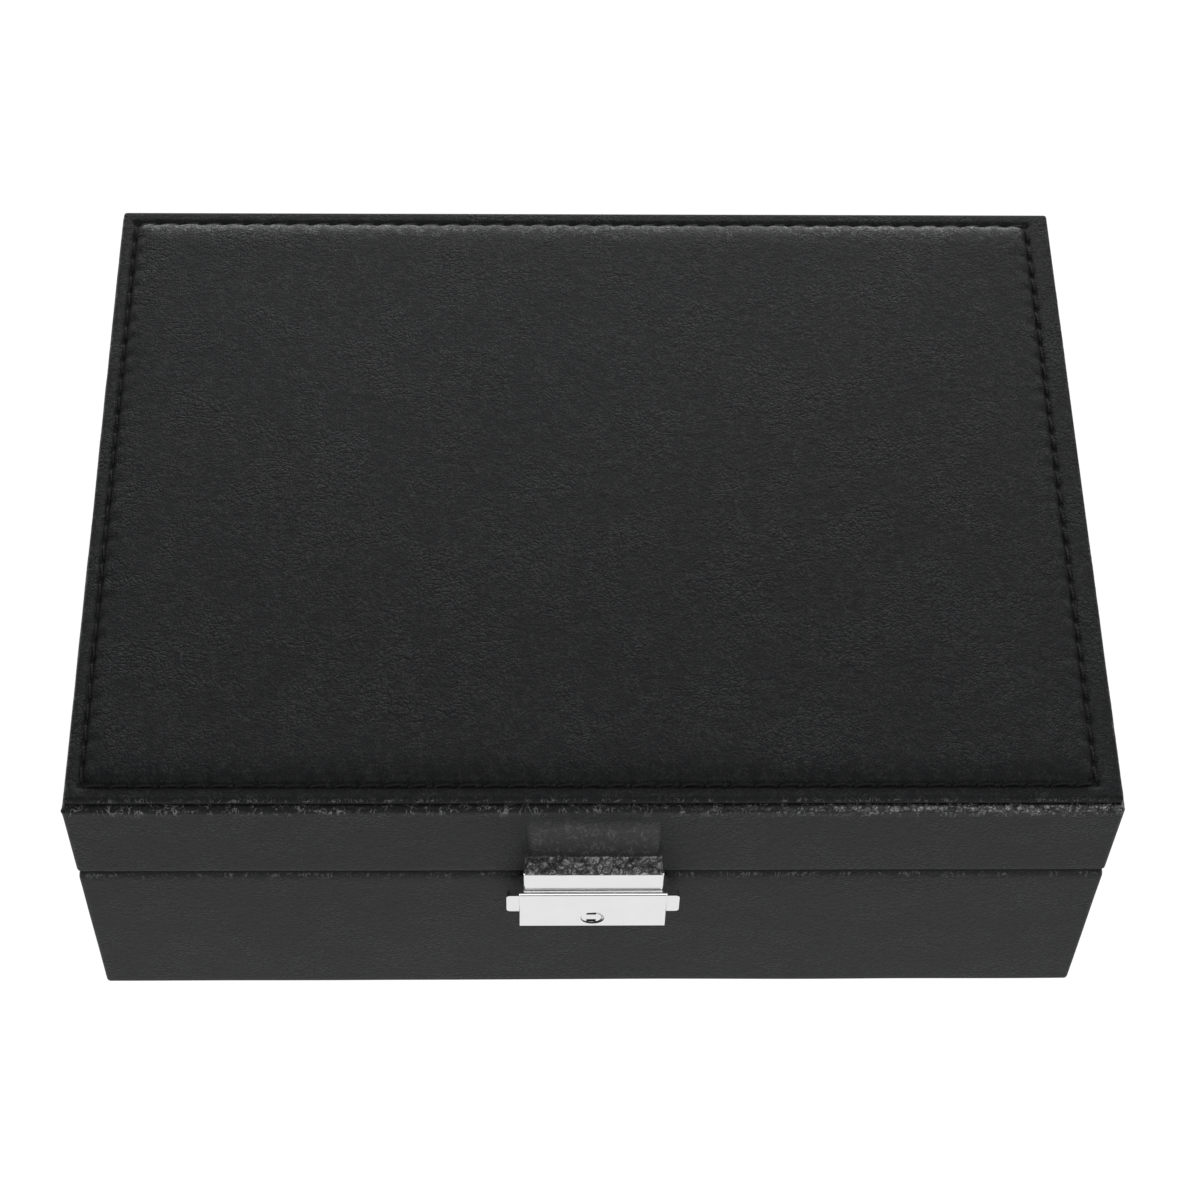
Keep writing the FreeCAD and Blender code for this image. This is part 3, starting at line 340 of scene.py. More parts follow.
def velvet_material(name, dark, light):
    """Short pile, with patches painted darker and lighter as the sheen of pile that lies different ways."""
    material, tree, shader = new_material(name)
    place = coordinates(tree)
    # The larger patches are painted sheen.
    pile_sheen = soft_noise(tree, wobbled(tree, place, 30 * MM, 20 * MM), 22 * MM)
    pile = soft_noise(tree, place, 0.45 * MM, 4.0)
    mixed = total(tree, product(tree, pile_sheen, 0.6), product(tree, pile, 0.5))
    tree.links.new(blended(tree, mixed, dark, light), shader.inputs["Base Color"])
    bumped(tree, shader, pile, 0.12 * MM)
    shader.inputs["Roughness"].default_value = 0.95
    shader.inputs["Specular IOR Level"].default_value = 0.15
    shader.inputs["Sheen Weight"].default_value = 0.6
    shader.inputs["Sheen Roughness"].default_value = 0.35
    return material


def woven_material(name, dark, light, pitch):
    """Ribbed ribbon."""
    material, tree, shader = new_material(name)
    place = coordinates(tree)
    ribs = put(tree, "ShaderNodeTexWave", {"Vector": place, "Scale": 0.05 / pitch, "Distortion": 0.6}, bands_direction="Z")
    weft = put(tree, "ShaderNodeTexWave", {"Vector": place, "Scale": 0.05 / pitch, "Distortion": 0.6}, bands_direction="Y")
    weave = product(tree, ribs.outputs["Fac"], weft.outputs["Fac"])
    tree.links.new(blended(tree, weave, dark, light), shader.inputs["Base Color"])
    bumped(tree, shader, weave, 0.08 * MM)
    shader.inputs["Roughness"].default_value = 0.6
    shader.inputs["Sheen Weight"].default_value = 0.3
    return material


def board_material():
    """The compressed fibre of the boards."""
    material, tree, shader = new_material("fibreboard")
    place = coordinates(tree)
    fibres = soft_noise(tree, coordinates(tree, (1, 1, 4)), 1.2 * MM, 5.0)
    blotches = soft_noise(tree, place, 14 * MM)
    tone = product(tree, total(tree, fibres, blotches), 0.5)
    tree.links.new(blended(tree, tone, (0.3, 0.2, 0.12), (0.62, 0.47, 0.31)), shader.inputs["Base Color"])
    bumped(tree, shader, fibres, 0.08 * MM)
    shader.inputs["Roughness"].default_value = 0.8
    return material


def card_material(name, dark, light, grain):
    """Grey card, foam and felt: a matted surface of small specks."""
    material, tree, shader = new_material(name)
    place = coordinates(tree)
    specks = soft_noise(tree, place, grain, 6.0)
    tree.links.new(blended(tree, specks, dark, light), shader.inputs["Base Color"])
    bumped(tree, shader, specks, 0.25 * grain)
    shader.inputs["Roughness"].default_value = 0.92
    shader.inputs["Specular IOR Level"].default_value = 0.2
    return material


make_camera()
make_world()
make_lights()
make_floor()

# The light colours blended into both leathers' wrinkles and glossy grain are partly scuffing and partly painted
# highlight.
LEATHER = leather_material(
    name="black_leather",
    cell=1.3 * MM,
    depth=0.27 * MM,
    tones=[(0.0006, 0.0007, 0.0009), (0.0062, 0.0066, 0.0074)],
    stretched=[(0.001, 0.001, 0.0012), (0.008, 0.0083, 0.009)],
    roughness=0.47,
    scuff_and_highlight=(0.42, 0.42, 0.415),
)
STRAP_LEATHER = leather_material(
    name="strap_leather",
    cell=1.7 * MM,
    depth=0.6 * MM,
    tones=[(0.0006, 0.0007, 0.0009), (0.0062, 0.0066, 0.0074)],
    stretched=[(0.013, 0.013, 0.013), (0.05, 0.05, 0.0495)],
    roughness=0.42,
    scuff_and_highlight=(0.75, 0.75, 0.74),
)
THREAD = thread_material()
CHROME = chrome_material()
PLATED = plated_material()
MIRROR = mirror_material()
VELVET = velvet_material("grey_velvet", (0.1, 0.1, 0.108), (0.27, 0.27, 0.285))
RIBBON = woven_material("ribbon", (0.012, 0.012, 0.014), (0.06, 0.06, 0.065), 0.9 * MM)
BOARD = board_material()
CARD = card_material("grey_card", (0.25, 0.24, 0.22), (0.45, 0.43, 0.4), 0.7 * MM)
FOAM = card_material("foam", (0.55, 0.54, 0.48), (0.8, 0.79, 0.72), 0.5 * MM)
FELT = card_material("black_felt", (0.006, 0.006, 0.0065), (0.03, 0.03, 0.032), 0.5 * MM)


# ---------------------------------------------------------------------------------------------
# Mesh building blocks. Shapes are numpy arrays of points in millimetres.
# ---------------------------------------------------------------------------------------------
def ripple(points, size, salt=0.0):
    """Smooth noise from -1 to 1 at each point; size is how far apart its hills lie."""
    scaled = np.asarray(points) / size + salt
    return np.array([noise.noise(Vector(point)) for point in scaled])


def eased(value):
    """0 below 0, 1 above 1, smooth between."""
    value = np.clip(value, 0, 1)
    return value * value * (3 - 2 * value)


def add_piece(name, points, faces, body, material, replaced=(), wear_and_highlight=None):
    """A smooth mesh object that rides on a body and stands for CAD nodes."""
    mesh = bpy.data.meshes.new(name)
    mesh.from_pydata((np.asarray(points) * MM).tolist(), [], faces)
    mesh.shade_smooth()
    mesh.materials.append(material)
    if wear_and_highlight is not None:
        layer = mesh.attributes.new("wear_and_highlight", "FLOAT", "POINT")
        layer.data.foreach_set("value", np.asarray(wear_and_highlight, dtype=np.float32))
    piece = bpy.data.objects.new(name, mesh)
    bpy.context.scene.collection.objects.link(piece)
    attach(piece, body)
    if replaced:
        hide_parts(*replaced)
    return piece


def loft(rings, caps=True, looped=False):
    """A skin through rings of matching points. looped joins the last ring to the first."""
    rings = np.asarray(rings)
    count, size, _ = rings.shape
    faces = []
    for row in range(count if looped else count - 1):
        start, after = row * size, (row + 1) % count * size
        faces += [(start + k, start + (k + 1) % size, after + (k + 1) % size, after + k) for k in range(size)]
    if caps and not looped:
        faces.append(tuple(range(size))[::-1])
        faces.append(tuple(range((count - 1) * size, count * size)))
    return rings.reshape(-1, 3), faces


def rounded_outline(half_x, half_y, radius, along_x, along_y, around=5):
    """A rounded rectangle, anticlockwise. Equal counts give outlines that match point for point."""
    radius = max(radius, 0.02)
    outline = []
    for corner, (side_x, side_y) in enumerate([(1, 1), (-1, 1), (-1, -1), (1, -1)]):
        middle = np.array([side_x * (half_x - radius), side_y * (half_y - radius)])
        start = corner * math.pi / 2
        arc = [
            middle + radius * np.array([math.cos(angle), math.sin(angle)])
            for angle in np.linspace(start, start + math.pi / 2, around + 1)
        ]
        outline += arc
        run_x, run_y = [(-1, 0), (0, -1), (1, 0), (0, 1)][corner]
        length = 2 * abs(run_x * (half_x - radius) + run_y * (half_y - radius))
        count = along_x if run_x else along_y
        for step in range(1, count):
            outline.append(arc[-1] + np.array([run_x, run_y]) * length * step / count)
    return np.array(outline)


def shell_rings(half_x, half_y, radius, profile, step):
    """Rings round the case for a profile of (inset, height) pairs."""
    along_x, along_y = round(2 * half_x / step), round(2 * half_y / step)
    rings = []
    for inset, height in profile:
        outline = rounded_outline(half_x - inset, half_y - inset, radius - inset, along_x, along_y)
        rings.append(np.column_stack([outline, np.full(len(outline), height)]))
    return np.array(rings)


# ---------------------------------------------------------------------------------------------
# Leather skins of the case
# ---------------------------------------------------------------------------------------------
base_low, base_high = size_of("base_wrap")
lid_low, lid_high = size_of("lid_wrap")
panel_low, panel_high = size_of("lid_top_cover")
board_low, board_high = size_of("base_front_board")
lid_board_low, lid_board_high = size_of("lid_front_board")
HALF_X, HALF_Y = base_high[0], base_high[1]
SKIN = HALF_X - board_high[0]
CORNER = 1.0  # radius of the case's upright edges
BASE_RIM = base_high[2]
LID_RIM = lid_low[2]
SHOULDER = lid_high[2]


def hinge_notches(points, height, above):
    """Keeps a rim clear of the hinge leaves let into it: below that height, or above it."""
    for side in ("left", "right"):
        low, high = size_of(f"{side}_hinge_base_leaf")
        inside = (points[:, 0] > low[0]) & (points[:, 0] < high[0]) & (points[:, 1] > low[1] - 1)
        limit = np.maximum if above else np.minimum
        points[inside, 2] = limit(points[inside, 2], height)


def quarter(inset_size, height_size, start, count=6, upward=True):
    """A quarter of an ellipse as (inset, height) pairs: from the upright wall to the level rim, or back."""
    pairs = []
    for angle in np.linspace(0, math.pi / 2, count):
        inset = inset_size * (1 - math.cos(angle))
        height = height_size * math.sin(angle)
        pairs.append((start[0] + inset, start[1] + (height if upward else -height)))
    return pairs


def make_base_skin():
    wall = HALF_Y - board_high[1] if board_high[1] > 0 else SKIN
    inner = HALF_Y + board_high[1]
    rim_roll, rim_drop, foot_roll = 1.6, 3.3, 1.0
    bottom = base_low[2]
    profile = [(13.0, bottom + SKIN), (13.0, bottom)]
    profile += quarter(foot_roll, foot_roll, (0, bottom + foot_roll), upward=False)[::-1]
    profile += [(0, height) for height in np.linspace(bottom + foot_roll, BASE_RIM - rim_drop, 24)[1:-1]]
    profile += quarter(rim_roll, rim_drop, (0, BASE_RIM - rim_drop), 8)
    profile += [(2.8, BASE_RIM), (inner - 0.5, BASE_RIM), (inner - 0.1, BASE_RIM - 0.2), (inner, BASE_RIM - 0.5)]
    profile += [(inner, BASE_RIM - SKIN), (SKIN, BASE_RIM - SKIN), (SKIN, bottom + SKIN)]
    rings = shell_rings(HALF_X, HALF_Y, CORNER, profile, 1.0)
    points, faces = loft(rings, looped=True)
    waves = 0.16 * ripple(points, 38, 3.1) * eased((BASE_RIM - 3 - points[:, 2]) / 8)
    outside = (np.abs(points[:, 0]) > HALF_X - 0.5) | (np.abs(points[:, 1]) > HALF_Y - 0.5)
    points[:, 1] += np.where(np.abs(points[:, 1]) > HALF_Y - 0.5, np.sign(points[:, 1]) * waves, 0) * outside
    points[:, 0] += np.where(np.abs(points[:, 0]) > HALF_X - 0.5, np.sign(points[:, 0]) * waves, 0) * outside
    hinge_notches(points, BASE_RIM - SKIN, above=False)
    # Near the rim the leather gets fine wrinkles, lightened in colour as partly painted glints.
    wear_and_highlight = 0.35 * eased((points[:, 2] - (BASE_RIM - rim_drop)) / rim_drop) * outside
    add_piece("base_skin", points, faces, "base", LEATHER, ["base_wrap"], wear_and_highlight)


def make_lid_skin():
    inner = HALF_Y + lid_board_high[1]
    rim_roll, top_roll = 1.0, 1.6
    rim = LID_RIM - 0.2
    profile = [(inner, LID_RIM + SKIN), (inner, LID_RIM + 0.4), (inner - 0.3, LID_RIM + 0.06), (inner - 0.8, LID_RIM)]
    profile += [(2.6, LID_RIM), (2.2, rim)]
    profile += quarter(rim_roll, rim_roll, (0, rim + rim_roll), upward=False)[::-1]
    profile += [(0, height) for height in np.linspace(rim + rim_roll, SHOULDER - top_roll, 14)[1:-1]]
    edge_start = len(profile)
    for angle in np.linspace(0, 0.5 * math.pi, 13):
        profile.append((top_roll - top_roll * math.cos(angle), SHOULDER - top_roll + top_roll * math.sin(angle)))
    edge_end = len(profile)
    profile += [(2.4, SHOULDER - 0.05), (12.0, SHOULDER - 0.05), (12.0, SHOULDER - SKIN)]
    profile += [(SKIN, SHOULDER - SKIN), (SKIN, LID_RIM + SKIN)]
    rings = shell_rings(HALF_X, HALF_Y, CORNER, profile, 0.4)
    size = rings.shape[1]
    points, faces = loft(rings, looped=True)
    row = np.repeat(np.arange(len(profile)), size)
    on_edge = (row >= edge_start) & (row < edge_end)
    middle = (edge_start + edge_end - 1) / 2
    bell = np.where(on_edge, 1 - ((row - middle) / (edge_end - middle)) ** 2, 0)
    outward = np.column_stack([np.sign(points[:, 0]), np.sign(points[:, 1])])
    on_front_or_back = np.abs(points[:, 1]) - HALF_Y > np.abs(points[:, 0]) - HALF_X
    stretched = points * np.array([1, 1, 0.3])
    wrinkles = 0.07 * ripple(stretched, 0.9, 5.7) + 0.12 * ripple(points, 7, 1.9)
    waves = 0.1 * ripple(points, 45, 8.2) * (row > 6) * (row < edge_end)
    push = bell * wrinkles + waves
    points[:, 1] += np.where(on_front_or_back, outward[:, 1] * push, 0)
    points[:, 0] += np.where(on_front_or_back, 0, outward[:, 0] * push)
    hinge_notches(points, LID_RIM + SKIN, above=True)
    # Painted highlight along the lid's front top edge, partly real polish: the value grows to the right, so the
    # edge's grain there is lightened in colour like the glossy line along its right half.
    gloss_and_highlight = 0.6 + 0.5 * eased((points[:, 0] - 10) / 60) + 0.25 * ripple(points, 24, 7.7)
    corner = np.exp(-(np.hypot(points[:, 0] + HALF_X, points[:, 1] + HALF_Y) ** 2) / 1.2)
    nub = 0.55 * corner * bell
    points[:, 0] -= nub
    points[:, 1] -= 0.5 * nub
    points[:, 2] += 0.7 * nub
    gloss_and_highlight = np.where(points[:, 1] < -HALF_Y + 4, gloss_and_highlight, 0.3)
    add_piece("lid_skin", points, faces, "lid", LEATHER, ["lid_wrap"], np.clip(bell * gloss_and_highlight, 0, 1))


# ---------------------------------------------------------------------------------------------
# Padded panel with its seam
# ---------------------------------------------------------------------------------------------
stitch_low, stitch_high = size_of("lid_stitching")
foam_low, foam_high = size_of("lid_foam_pad")
PANEL_X, PANEL_Y = panel_high[0], panel_high[1]
STITCH_WIDTH = 1.0
SHIFT = (stitch_high[0] + stitch_low[0]) / 2  # the seam's middle lies a little to the left
SEAM_X = (stitch_high[0] - stitch_low[0] - STITCH_WIDTH) / 2
SEAM_Y = stitch_high[1] - STITCH_WIDTH / 2
PANEL_EDGE = stitch_high[2]  # height of the flat border outside the seam
STITCH = 5.3
STITCHES_X = round(2 * SEAM_X / STITCH)
STITCHES_Y = round(2 * SEAM_Y / STITCH)
PAD_RISE = panel_high[2] - PANEL_EDGE
DEEPEST = size_of("lid_panel_card")[1][2] + 0.14 - PANEL_EDGE  # the cover can't sink below the card


def panel_steps(half, seams):
    """(place, edge height) along one axis: rounded over at both ends, close together beside the seams."""
    thick = PANEL_EDGE - panel_low[2]
    bull = thick / 2
    edge = [
        (bull * (1 - math.cos(angle)), bull * (math.sin(angle) - 1))
        for angle in np.linspace(-0.45 * math.pi, 0.5 * math.pi, 10)
    ]
    level, place = [], 0.4 - (half - bull)
    while place < half - bull - 0.3:
        level.append(place)
        beside = min(abs(place - seam) for seam in seams) < 2.6
        place += 0.34 if beside else 1.0
    places = [-half + inset for inset, _ in edge] + level + [half - inset for inset, _ in edge[::-1]]
    drops = [drop for _, drop in edge] + [0.0] * len(level) + [drop for _, drop in edge[::-1]]
    return np.array(places), np.array(drops)


def panel_height(x, y):
    """Height of the cover above its border: the seam's groove, a dimple at each needle hole, and the pad."""
    x = x - SHIFT
    from_x, from_y = SEAM_X - np.abs(x), SEAM_Y - np.abs(y)
    inward = np.minimum(from_x, from_y)
    beside_x = from_y < from_x
    pitch = np.where(beside_x, 2 * SEAM_X / STITCHES_X, 2 * SEAM_Y / STITCHES_Y)
    along = np.where(beside_x, x + SEAM_X, y + SEAM_Y)
    phase = 2 * math.pi * along / pitch
    corner = 3.5
    blend = np.clip(0.5 + 0.5 * (from_y - from_x) / corner, 0, 1)
    rounded = from_y * (1 - blend) + from_x * blend - corner * blend * (1 - blend)
    hole = (0.5 + 0.5 * np.cos(phase)) ** 3
    groove = np.exp(-((inward / 0.8) ** 2)) * (0.38 + 0.45 * hole)
    pull = np.exp(-(((inward - 1.5) / 1.3) ** 2)) * (0.34 * hole - 0.1)
    border = 0.1 * eased(-inward / 1.4)
    past = np.maximum(rounded - 0.15, 0)
    rise = 0.42 * (1 - np.exp(-past / 0.25)) + 0.68 * np.tanh(past / 3.6)
    crown = 0.3 * eased(rounded / 60)
    height = border + (PAD_RISE + 0.1) * rise + crown - groove - pull * (inward > 0) - 0.5 * pull * (inward < 0)
    return np.maximum(height, DEEPEST)


def make_panel_skin():
    across, drop_x = panel_steps(PANEL_X, (SHIFT - SEAM_X, SHIFT + SEAM_X))
    deep, drop_y = panel_steps(PANEL_Y, (-SEAM_Y, SEAM_Y))
    x, y = np.meshgrid(across, deep)
    drop = np.minimum(*np.meshgrid(drop_x, drop_y))
    corner = 0.8
    push_x, push_y = np.maximum(np.abs(x) - PANEL_X + corner, 0), np.maximum(np.abs(y) - PANEL_Y + corner, 0)
    reach = np.hypot(push_x, push_y)
    scale = np.where(reach > 0, np.maximum(push_x, push_y) / np.maximum(reach, 1e-9), 1)
    x = np.where(push_x * push_y > 0, np.sign(x) * (PANEL_X - corner + push_x * scale), x)
    y = np.where(push_x * push_y > 0, np.sign(y) * (PANEL_Y - corner + push_y * scale), y)
    flat = np.column_stack([x.ravel(), y.ravel(), np.zeros(x.size)])
    inside_sides = eased((SEAM_X - np.abs(x - SHIFT)).ravel() / 2)
    inside = eased(np.minimum(SEAM_X - np.abs(x - SHIFT), SEAM_Y - np.abs(y)).ravel() / 9)
    swell = (0.16 * ripple(flat, 55, 2.3) + 0.05 * ripple(flat, 14, 6.1)) * inside
    height = PANEL_EDGE + drop.ravel() + panel_height(x, y).ravel() + swell
    points = np.column_stack([flat[:, :2], height])
    rows, columns = x.shape
    faces = [
        (row * columns + k, row * columns + k + 1, (row + 1) * columns + k + 1, (row + 1) * columns + k)
        for row in range(rows - 1)
        for k in range(columns - 1)
    ]
    # Painted light here: the border's rounded edge gets light wrinkles, partly painted glints, and a band just inside
    # the back seam gets a lower roughness and a lighter colour, the lighter colour being a painted highlight on the
    # pad's back slope.
    wear_and_highlight = 0.35 * np.exp(-(((drop.ravel() + 0.45) / 0.3) ** 2))
    from_back = SEAM_Y - flat[:, 1]
    gloss_and_highlight_band = eased(from_back / 0.4) * np.exp(-np.maximum(from_back - 2.4, 0) / 1.4)
    wear_and_highlight = np.maximum(wear_and_highlight, gloss_and_highlight_band * (0.86 + 0.12 * ripple(flat, 30, 4.4)) * inside_sides)
    cover = add_piece("panel_skin", points, faces, "lid", LEATHER, ["lid_top_cover"], wear_and_highlight)


def make_foam():
    """The foam sheet inside the padded panel, shaped by the cover pulled down round it."""
    half_x, half_y = SEAM_X - 2.6, SEAM_Y - 2.6
    cover = 0.6
    x, y = np.meshgrid(SHIFT + np.linspace(-half_x, half_x, 110), np.linspace(-half_y, half_y, 80))
    rows, columns = x.shape
    top = PANEL_EDGE + panel_height(x, y) - cover
    bottom = np.full(x.shape, foam_low[2])
    top = np.maximum(top, bottom + 0.1)
    points = np.concatenate([np.dstack([x, y, level]).reshape(-1, 3) for level in (top, bottom)])
    count = rows * columns
    faces = []
    for row in range(rows - 1):
        for k in range(columns - 1):
            start = row * columns + k
            square = (start, start + 1, start + columns + 1, start + columns)
            faces += [square, tuple(index + count for index in square[::-1])]
    rim = [k for k in range(columns)] + [(row + 1) * columns - 1 for row in range(1, rows)]
    rim += [count - 2 - k for k in range(columns - 1)] + [row * columns for row in range(rows - 2, 0, -1)]
    faces += [(first + count, second + count, second, first) for first, second in zip(rim, rim[1:] + rim[:1])]
    foam = add_piece("panel_foam", points, faces, "lid", FOAM, ["lid_foam_pad"])


def tube(path, radius, sides=7):
    """A closed tube of round section along a path of points."""
    path = np.asarray(path)
    ahead = np.gradient(path, axis=0)
    ahead /= np.linalg.norm(ahead, axis=1)[:, None]
    side = np.cross(ahead, (0, 0, 1.0))
    side /= np.linalg.norm(side, axis=1)[:, None]
    up = np.cross(side, ahead)
    angles = np.linspace(0, 2 * math.pi, sides, endpoint=False)
    rings = [
        point + radius * (np.outer(np.cos(angles), s) + np.outer(np.sin(angles), u))
        for point, s, u in zip(path, side, up)
    ]
    return loft(rings)


def collected(parts):
    """One mesh from several (points, faces) pairs."""
    points, faces, start = [], [], 0
    for part_points, part_faces in parts:
        points.append(part_points)
        faces += [tuple(index + start for index in face) for face in part_faces]
        start += len(part_points)
    return np.concatenate(points), faces


def make_stitches():
    """Two-ply thread from each needle hole to the next, all the way round."""
    chance = random.Random(SEED)
    parts = []
    sides = [
        ((SHIFT - SEAM_X, -SEAM_Y), (1, 0), STITCHES_X, SEAM_X),
        ((SHIFT + SEAM_X, -SEAM_Y), (0, 1), STITCHES_Y, SEAM_Y),
        ((SHIFT + SEAM_X, SEAM_Y), (-1, 0), STITCHES_X, SEAM_X),
        ((SHIFT - SEAM_X, SEAM_Y), (0, -1), STITCHES_Y, SEAM_Y),
    ]
    steps = np.linspace(0, 1, 15)
    for corner, (run_x, run_y), count, half in sides:
        pitch = 2 * half / count
        for index in range(count):
            slant = 0.2 + chance.uniform(-0.08, 0.08)
            lift = 0.16 + chance.uniform(-0.06, 0.06)
            turn = chance.uniform(0, 2 * math.pi)
            along = (index + 0.15 + 0.7 * steps) * pitch
            aside = slant * (steps * 2 - 1)
            arch = np.sin(math.pi * steps) ** 0.5
            height = PANEL_EDGE - 0.62 + (0.42 + lift - (0.25 if run_x < 0 else 0)) * arch
            middle = np.column_stack(
                [corner[0] + run_x * along - run_y * aside, corner[1] + run_y * along + run_x * aside, height]
            )
            for ply in (0, math.pi):
                twist = turn + ply + 2 * math.pi * steps * 2.6
                offset = np.column_stack([-run_y * np.cos(twist), run_x * np.cos(twist), np.sin(twist)])
                parts.append(tube(middle + 0.19 * offset, 0.23))
    points, faces = collected(parts)
    add_piece("panel_stitches", points, faces, "lid", THREAD, ["lid_stitching"])


# ---------------------------------------------------------------------------------------------
# Leather strap over the hasp
# ---------------------------------------------------------------------------------------------
def make_strap():
    """Leather stretched over the hasp: it swells from the lid's front and folds out over the bar's top edge."""
    low, high = size_of("hasp_strap")
    half, thick = high[0], 0.7
    shelf = low[2] + thick / 2  # middle of the leather on top of the bar
    wall_top = SHOULDER - 1.8
    fold = 0.45
    wall_rings = 34
    path = [(-HALF_Y, height) for height in np.linspace(wall_top, shelf + fold + 0.1, wall_rings)]
    start = (-HALF_Y - 0.35, shelf + fold)
    for angle in np.linspace(0, math.pi / 2, 6):
        path.append((start[0] - fold * (1 - math.cos(angle)), start[1] - fold * math.sin(angle)))
    path += [(out, shelf) for out in np.linspace(path[-1][0], low[1] + 0.35, 12)[1:]]
    path += [(low[1] + 0.14, shelf - 0.06), (low[1] + 0.03, shelf - 0.24)]
    path = np.array(path)
    on_wall = np.arange(len(path)) < wall_rings
    ahead = np.gradient(path, axis=0)
    ahead /= np.linalg.norm(ahead, axis=1)[:, None]
    across = np.linspace(-half, half, 81)
    from_side = half - np.abs(across)
    rings = []
    for index, ((y, z), (run_y, run_z)) in enumerate(zip(path, ahead)):
        if on_wall[index]:
            swell = eased(from_side / 2.5) * eased((wall_top - z) / 7)
            near_fold = eased((shelf + 3.5 - z) / 3) * eased(from_side / 0.6)
            lift = np.maximum(0.42 * swell, 0.62 * near_fold) - 0.09
            outer = np.column_stack([across, y - lift, np.full(across.shape, z)])
            inner = np.column_stack([across, np.full(across.shape, y + 0.12), np.full(across.shape, z)])
        else:
            full = thick / 2 * np.sqrt(np.clip(from_side / 0.35, 0.02, 1))
            outer = np.column_stack([across, y + run_z * full, z - run_y * full])
            inner = np.column_stack([across, y - run_z * full, z + run_y * full])
        rings.append(np.concatenate([outer, inner[::-1]]))
    points, faces = loft(rings)
    points[:, 1] -= 0.04 * ripple(points * np.array([1, 1, 0.5]), 2.2, 4.4)
    points[:, 2] += 0.07 * ripple(points, 2.6, 9.4) * (points[:, 2] < shelf + 1)
    from_edge = eased((half - np.abs(points[:, 0])) / 2.5) * eased((wall_top - points[:, 2]) / 8)
    # On the leather over the bar's top the value is 1: its grain takes the lighter stretched tones and light flecks,
    # the flecks being partly painted glints.
    wear_and_highlight = np.where(points[:, 2] < shelf + 1.0, 1.0, 0.08 * from_edge)
    add_piece("strap_skin", points, faces, "lid", STRAP_LEATHER, ["hasp_strap"], wear_and_highlight)


# ---------------------------------------------------------------------------------------------
# Velvet inside: boards wrapped in pile, pads, ring rolls and ribbon tabs
# ---------------------------------------------------------------------------------------------
def stops(low, high, radius, step):
    """Places along an edge: close together over the rounded ends, then evenly spaced."""
    ends = radius * (1 - np.cos(np.linspace(0, math.pi / 2, 5)))
    count = max(2, round((high - low - 2 * radius) / step))
    middle = np.linspace(low + radius, high - radius, count + 1)[1:-1]
    return np.concatenate([low + ends, middle, (high - ends)[::-1]])


def rounded_box(low, high, radius, step=3.0):
    """A closed box with rounded edges and an even mesh."""
    low, high = np.asarray(low, float), np.asarray(high, float)
    radius = min(radius, 0.499 * (high - low).min())
    places = [stops(low[axis], high[axis], radius, step) for axis in range(3)]
    index, points, faces = {}, [], []

    def corner(key):
        if key not in index:
            index[key] = len(points)
            points.append([places[axis][key[axis]] for axis in range(3)])
        return index[key]

    for axis in range(3):
        one, two = (axis + 1) % 3, (axis + 2) % 3
        for end in (0, len(places[axis]) - 1):
            for i in range(len(places[one]) - 1):
                for j in range(len(places[two]) - 1):
                    square = []
                    for step_one, step_two in ((0, 0), (1, 0), (1, 1), (0, 1)):
                        key = [0, 0, 0]
                        key[axis], key[one], key[two] = end, i + step_one, j + step_two
                        square.append(corner(tuple(key)))
                    faces.append(tuple(square if end else square[::-1]))
    points = np.array(points)
    core = np.clip(points, low + radius, high - radius)
    out = points - core
    length = np.linalg.norm(out, axis=1)[:, None]
    return core + radius * out / np.maximum(length, 1e-9), faces


def islands(node):
    """The corners of each separate box in a CAD node, in millimetres."""
    mesh = nodes[node].data
    parent = list(range(len(mesh.vertices)))

    def root(item):
        while parent[item] != item:
            parent[item] = parent[parent[item]]
            item = parent[item]
        return item

    spots = {}
    for vertex in mesh.vertices:
        spot = tuple(round(value * 1e6) for value in vertex.co)
        parent[root(vertex.index)] = root(spots.setdefault(spot, vertex.index))
    for edge in mesh.edges:
        parent[root(edge.vertices[0])] = root(edge.vertices[1])
    groups = {}
    matrix = nodes[node].matrix_world
    for vertex in mesh.vertices:
        groups.setdefault(root(vertex.index), []).append(matrix @ vertex.co)
    clouds = [np.array(group) / MM for group in groups.values()]
    return [(cloud.min(axis=0), cloud.max(axis=0)) for cloud in clouds]


def wrap_boards(body, names, radius, salt):
    """Velvet-wrapped boards: soft edges and a slightly uneven face."""
    for name in names:
        parts = [rounded_box(low, high, radius) for low, high in islands(name)]
        points, faces = collected(parts)
        sink = 0.12 * (1 + ripple(points, 16, salt))
        middle = (points.max(axis=0) + points.min(axis=0)) / 2
        thin = int(np.argmin(points.max(axis=0) - points.min(axis=0)))
        points[:, thin] -= np.sign(points[:, thin] - middle[thin]) * sink * 0.5
        add_piece(f"{name}_velvet", points, faces, body, VELVET, [name])


def make_floor_pad():
    """A thin pad that is highest in its middle. Its underside lies on the floor board."""
    low, high = size_of("base_floor_pad")
    points, faces = rounded_box(low, high, 0.8, 4.0)
    room = np.minimum(high[0] - np.abs(points[:, 0]), high[1] - np.abs(points[:, 1]))
    swell = 0.8 * (eased(room / 14) - 1) + 0.1 * (ripple(points, 34, 1.7) - 1)
    points[:, 2] += np.where(points[:, 2] > (low[2] + high[2]) / 2, swell, 0)
    pad = add_piece("base_floor_pad_cushion", points, faces, "base", VELVET, ["base_floor_pad"])


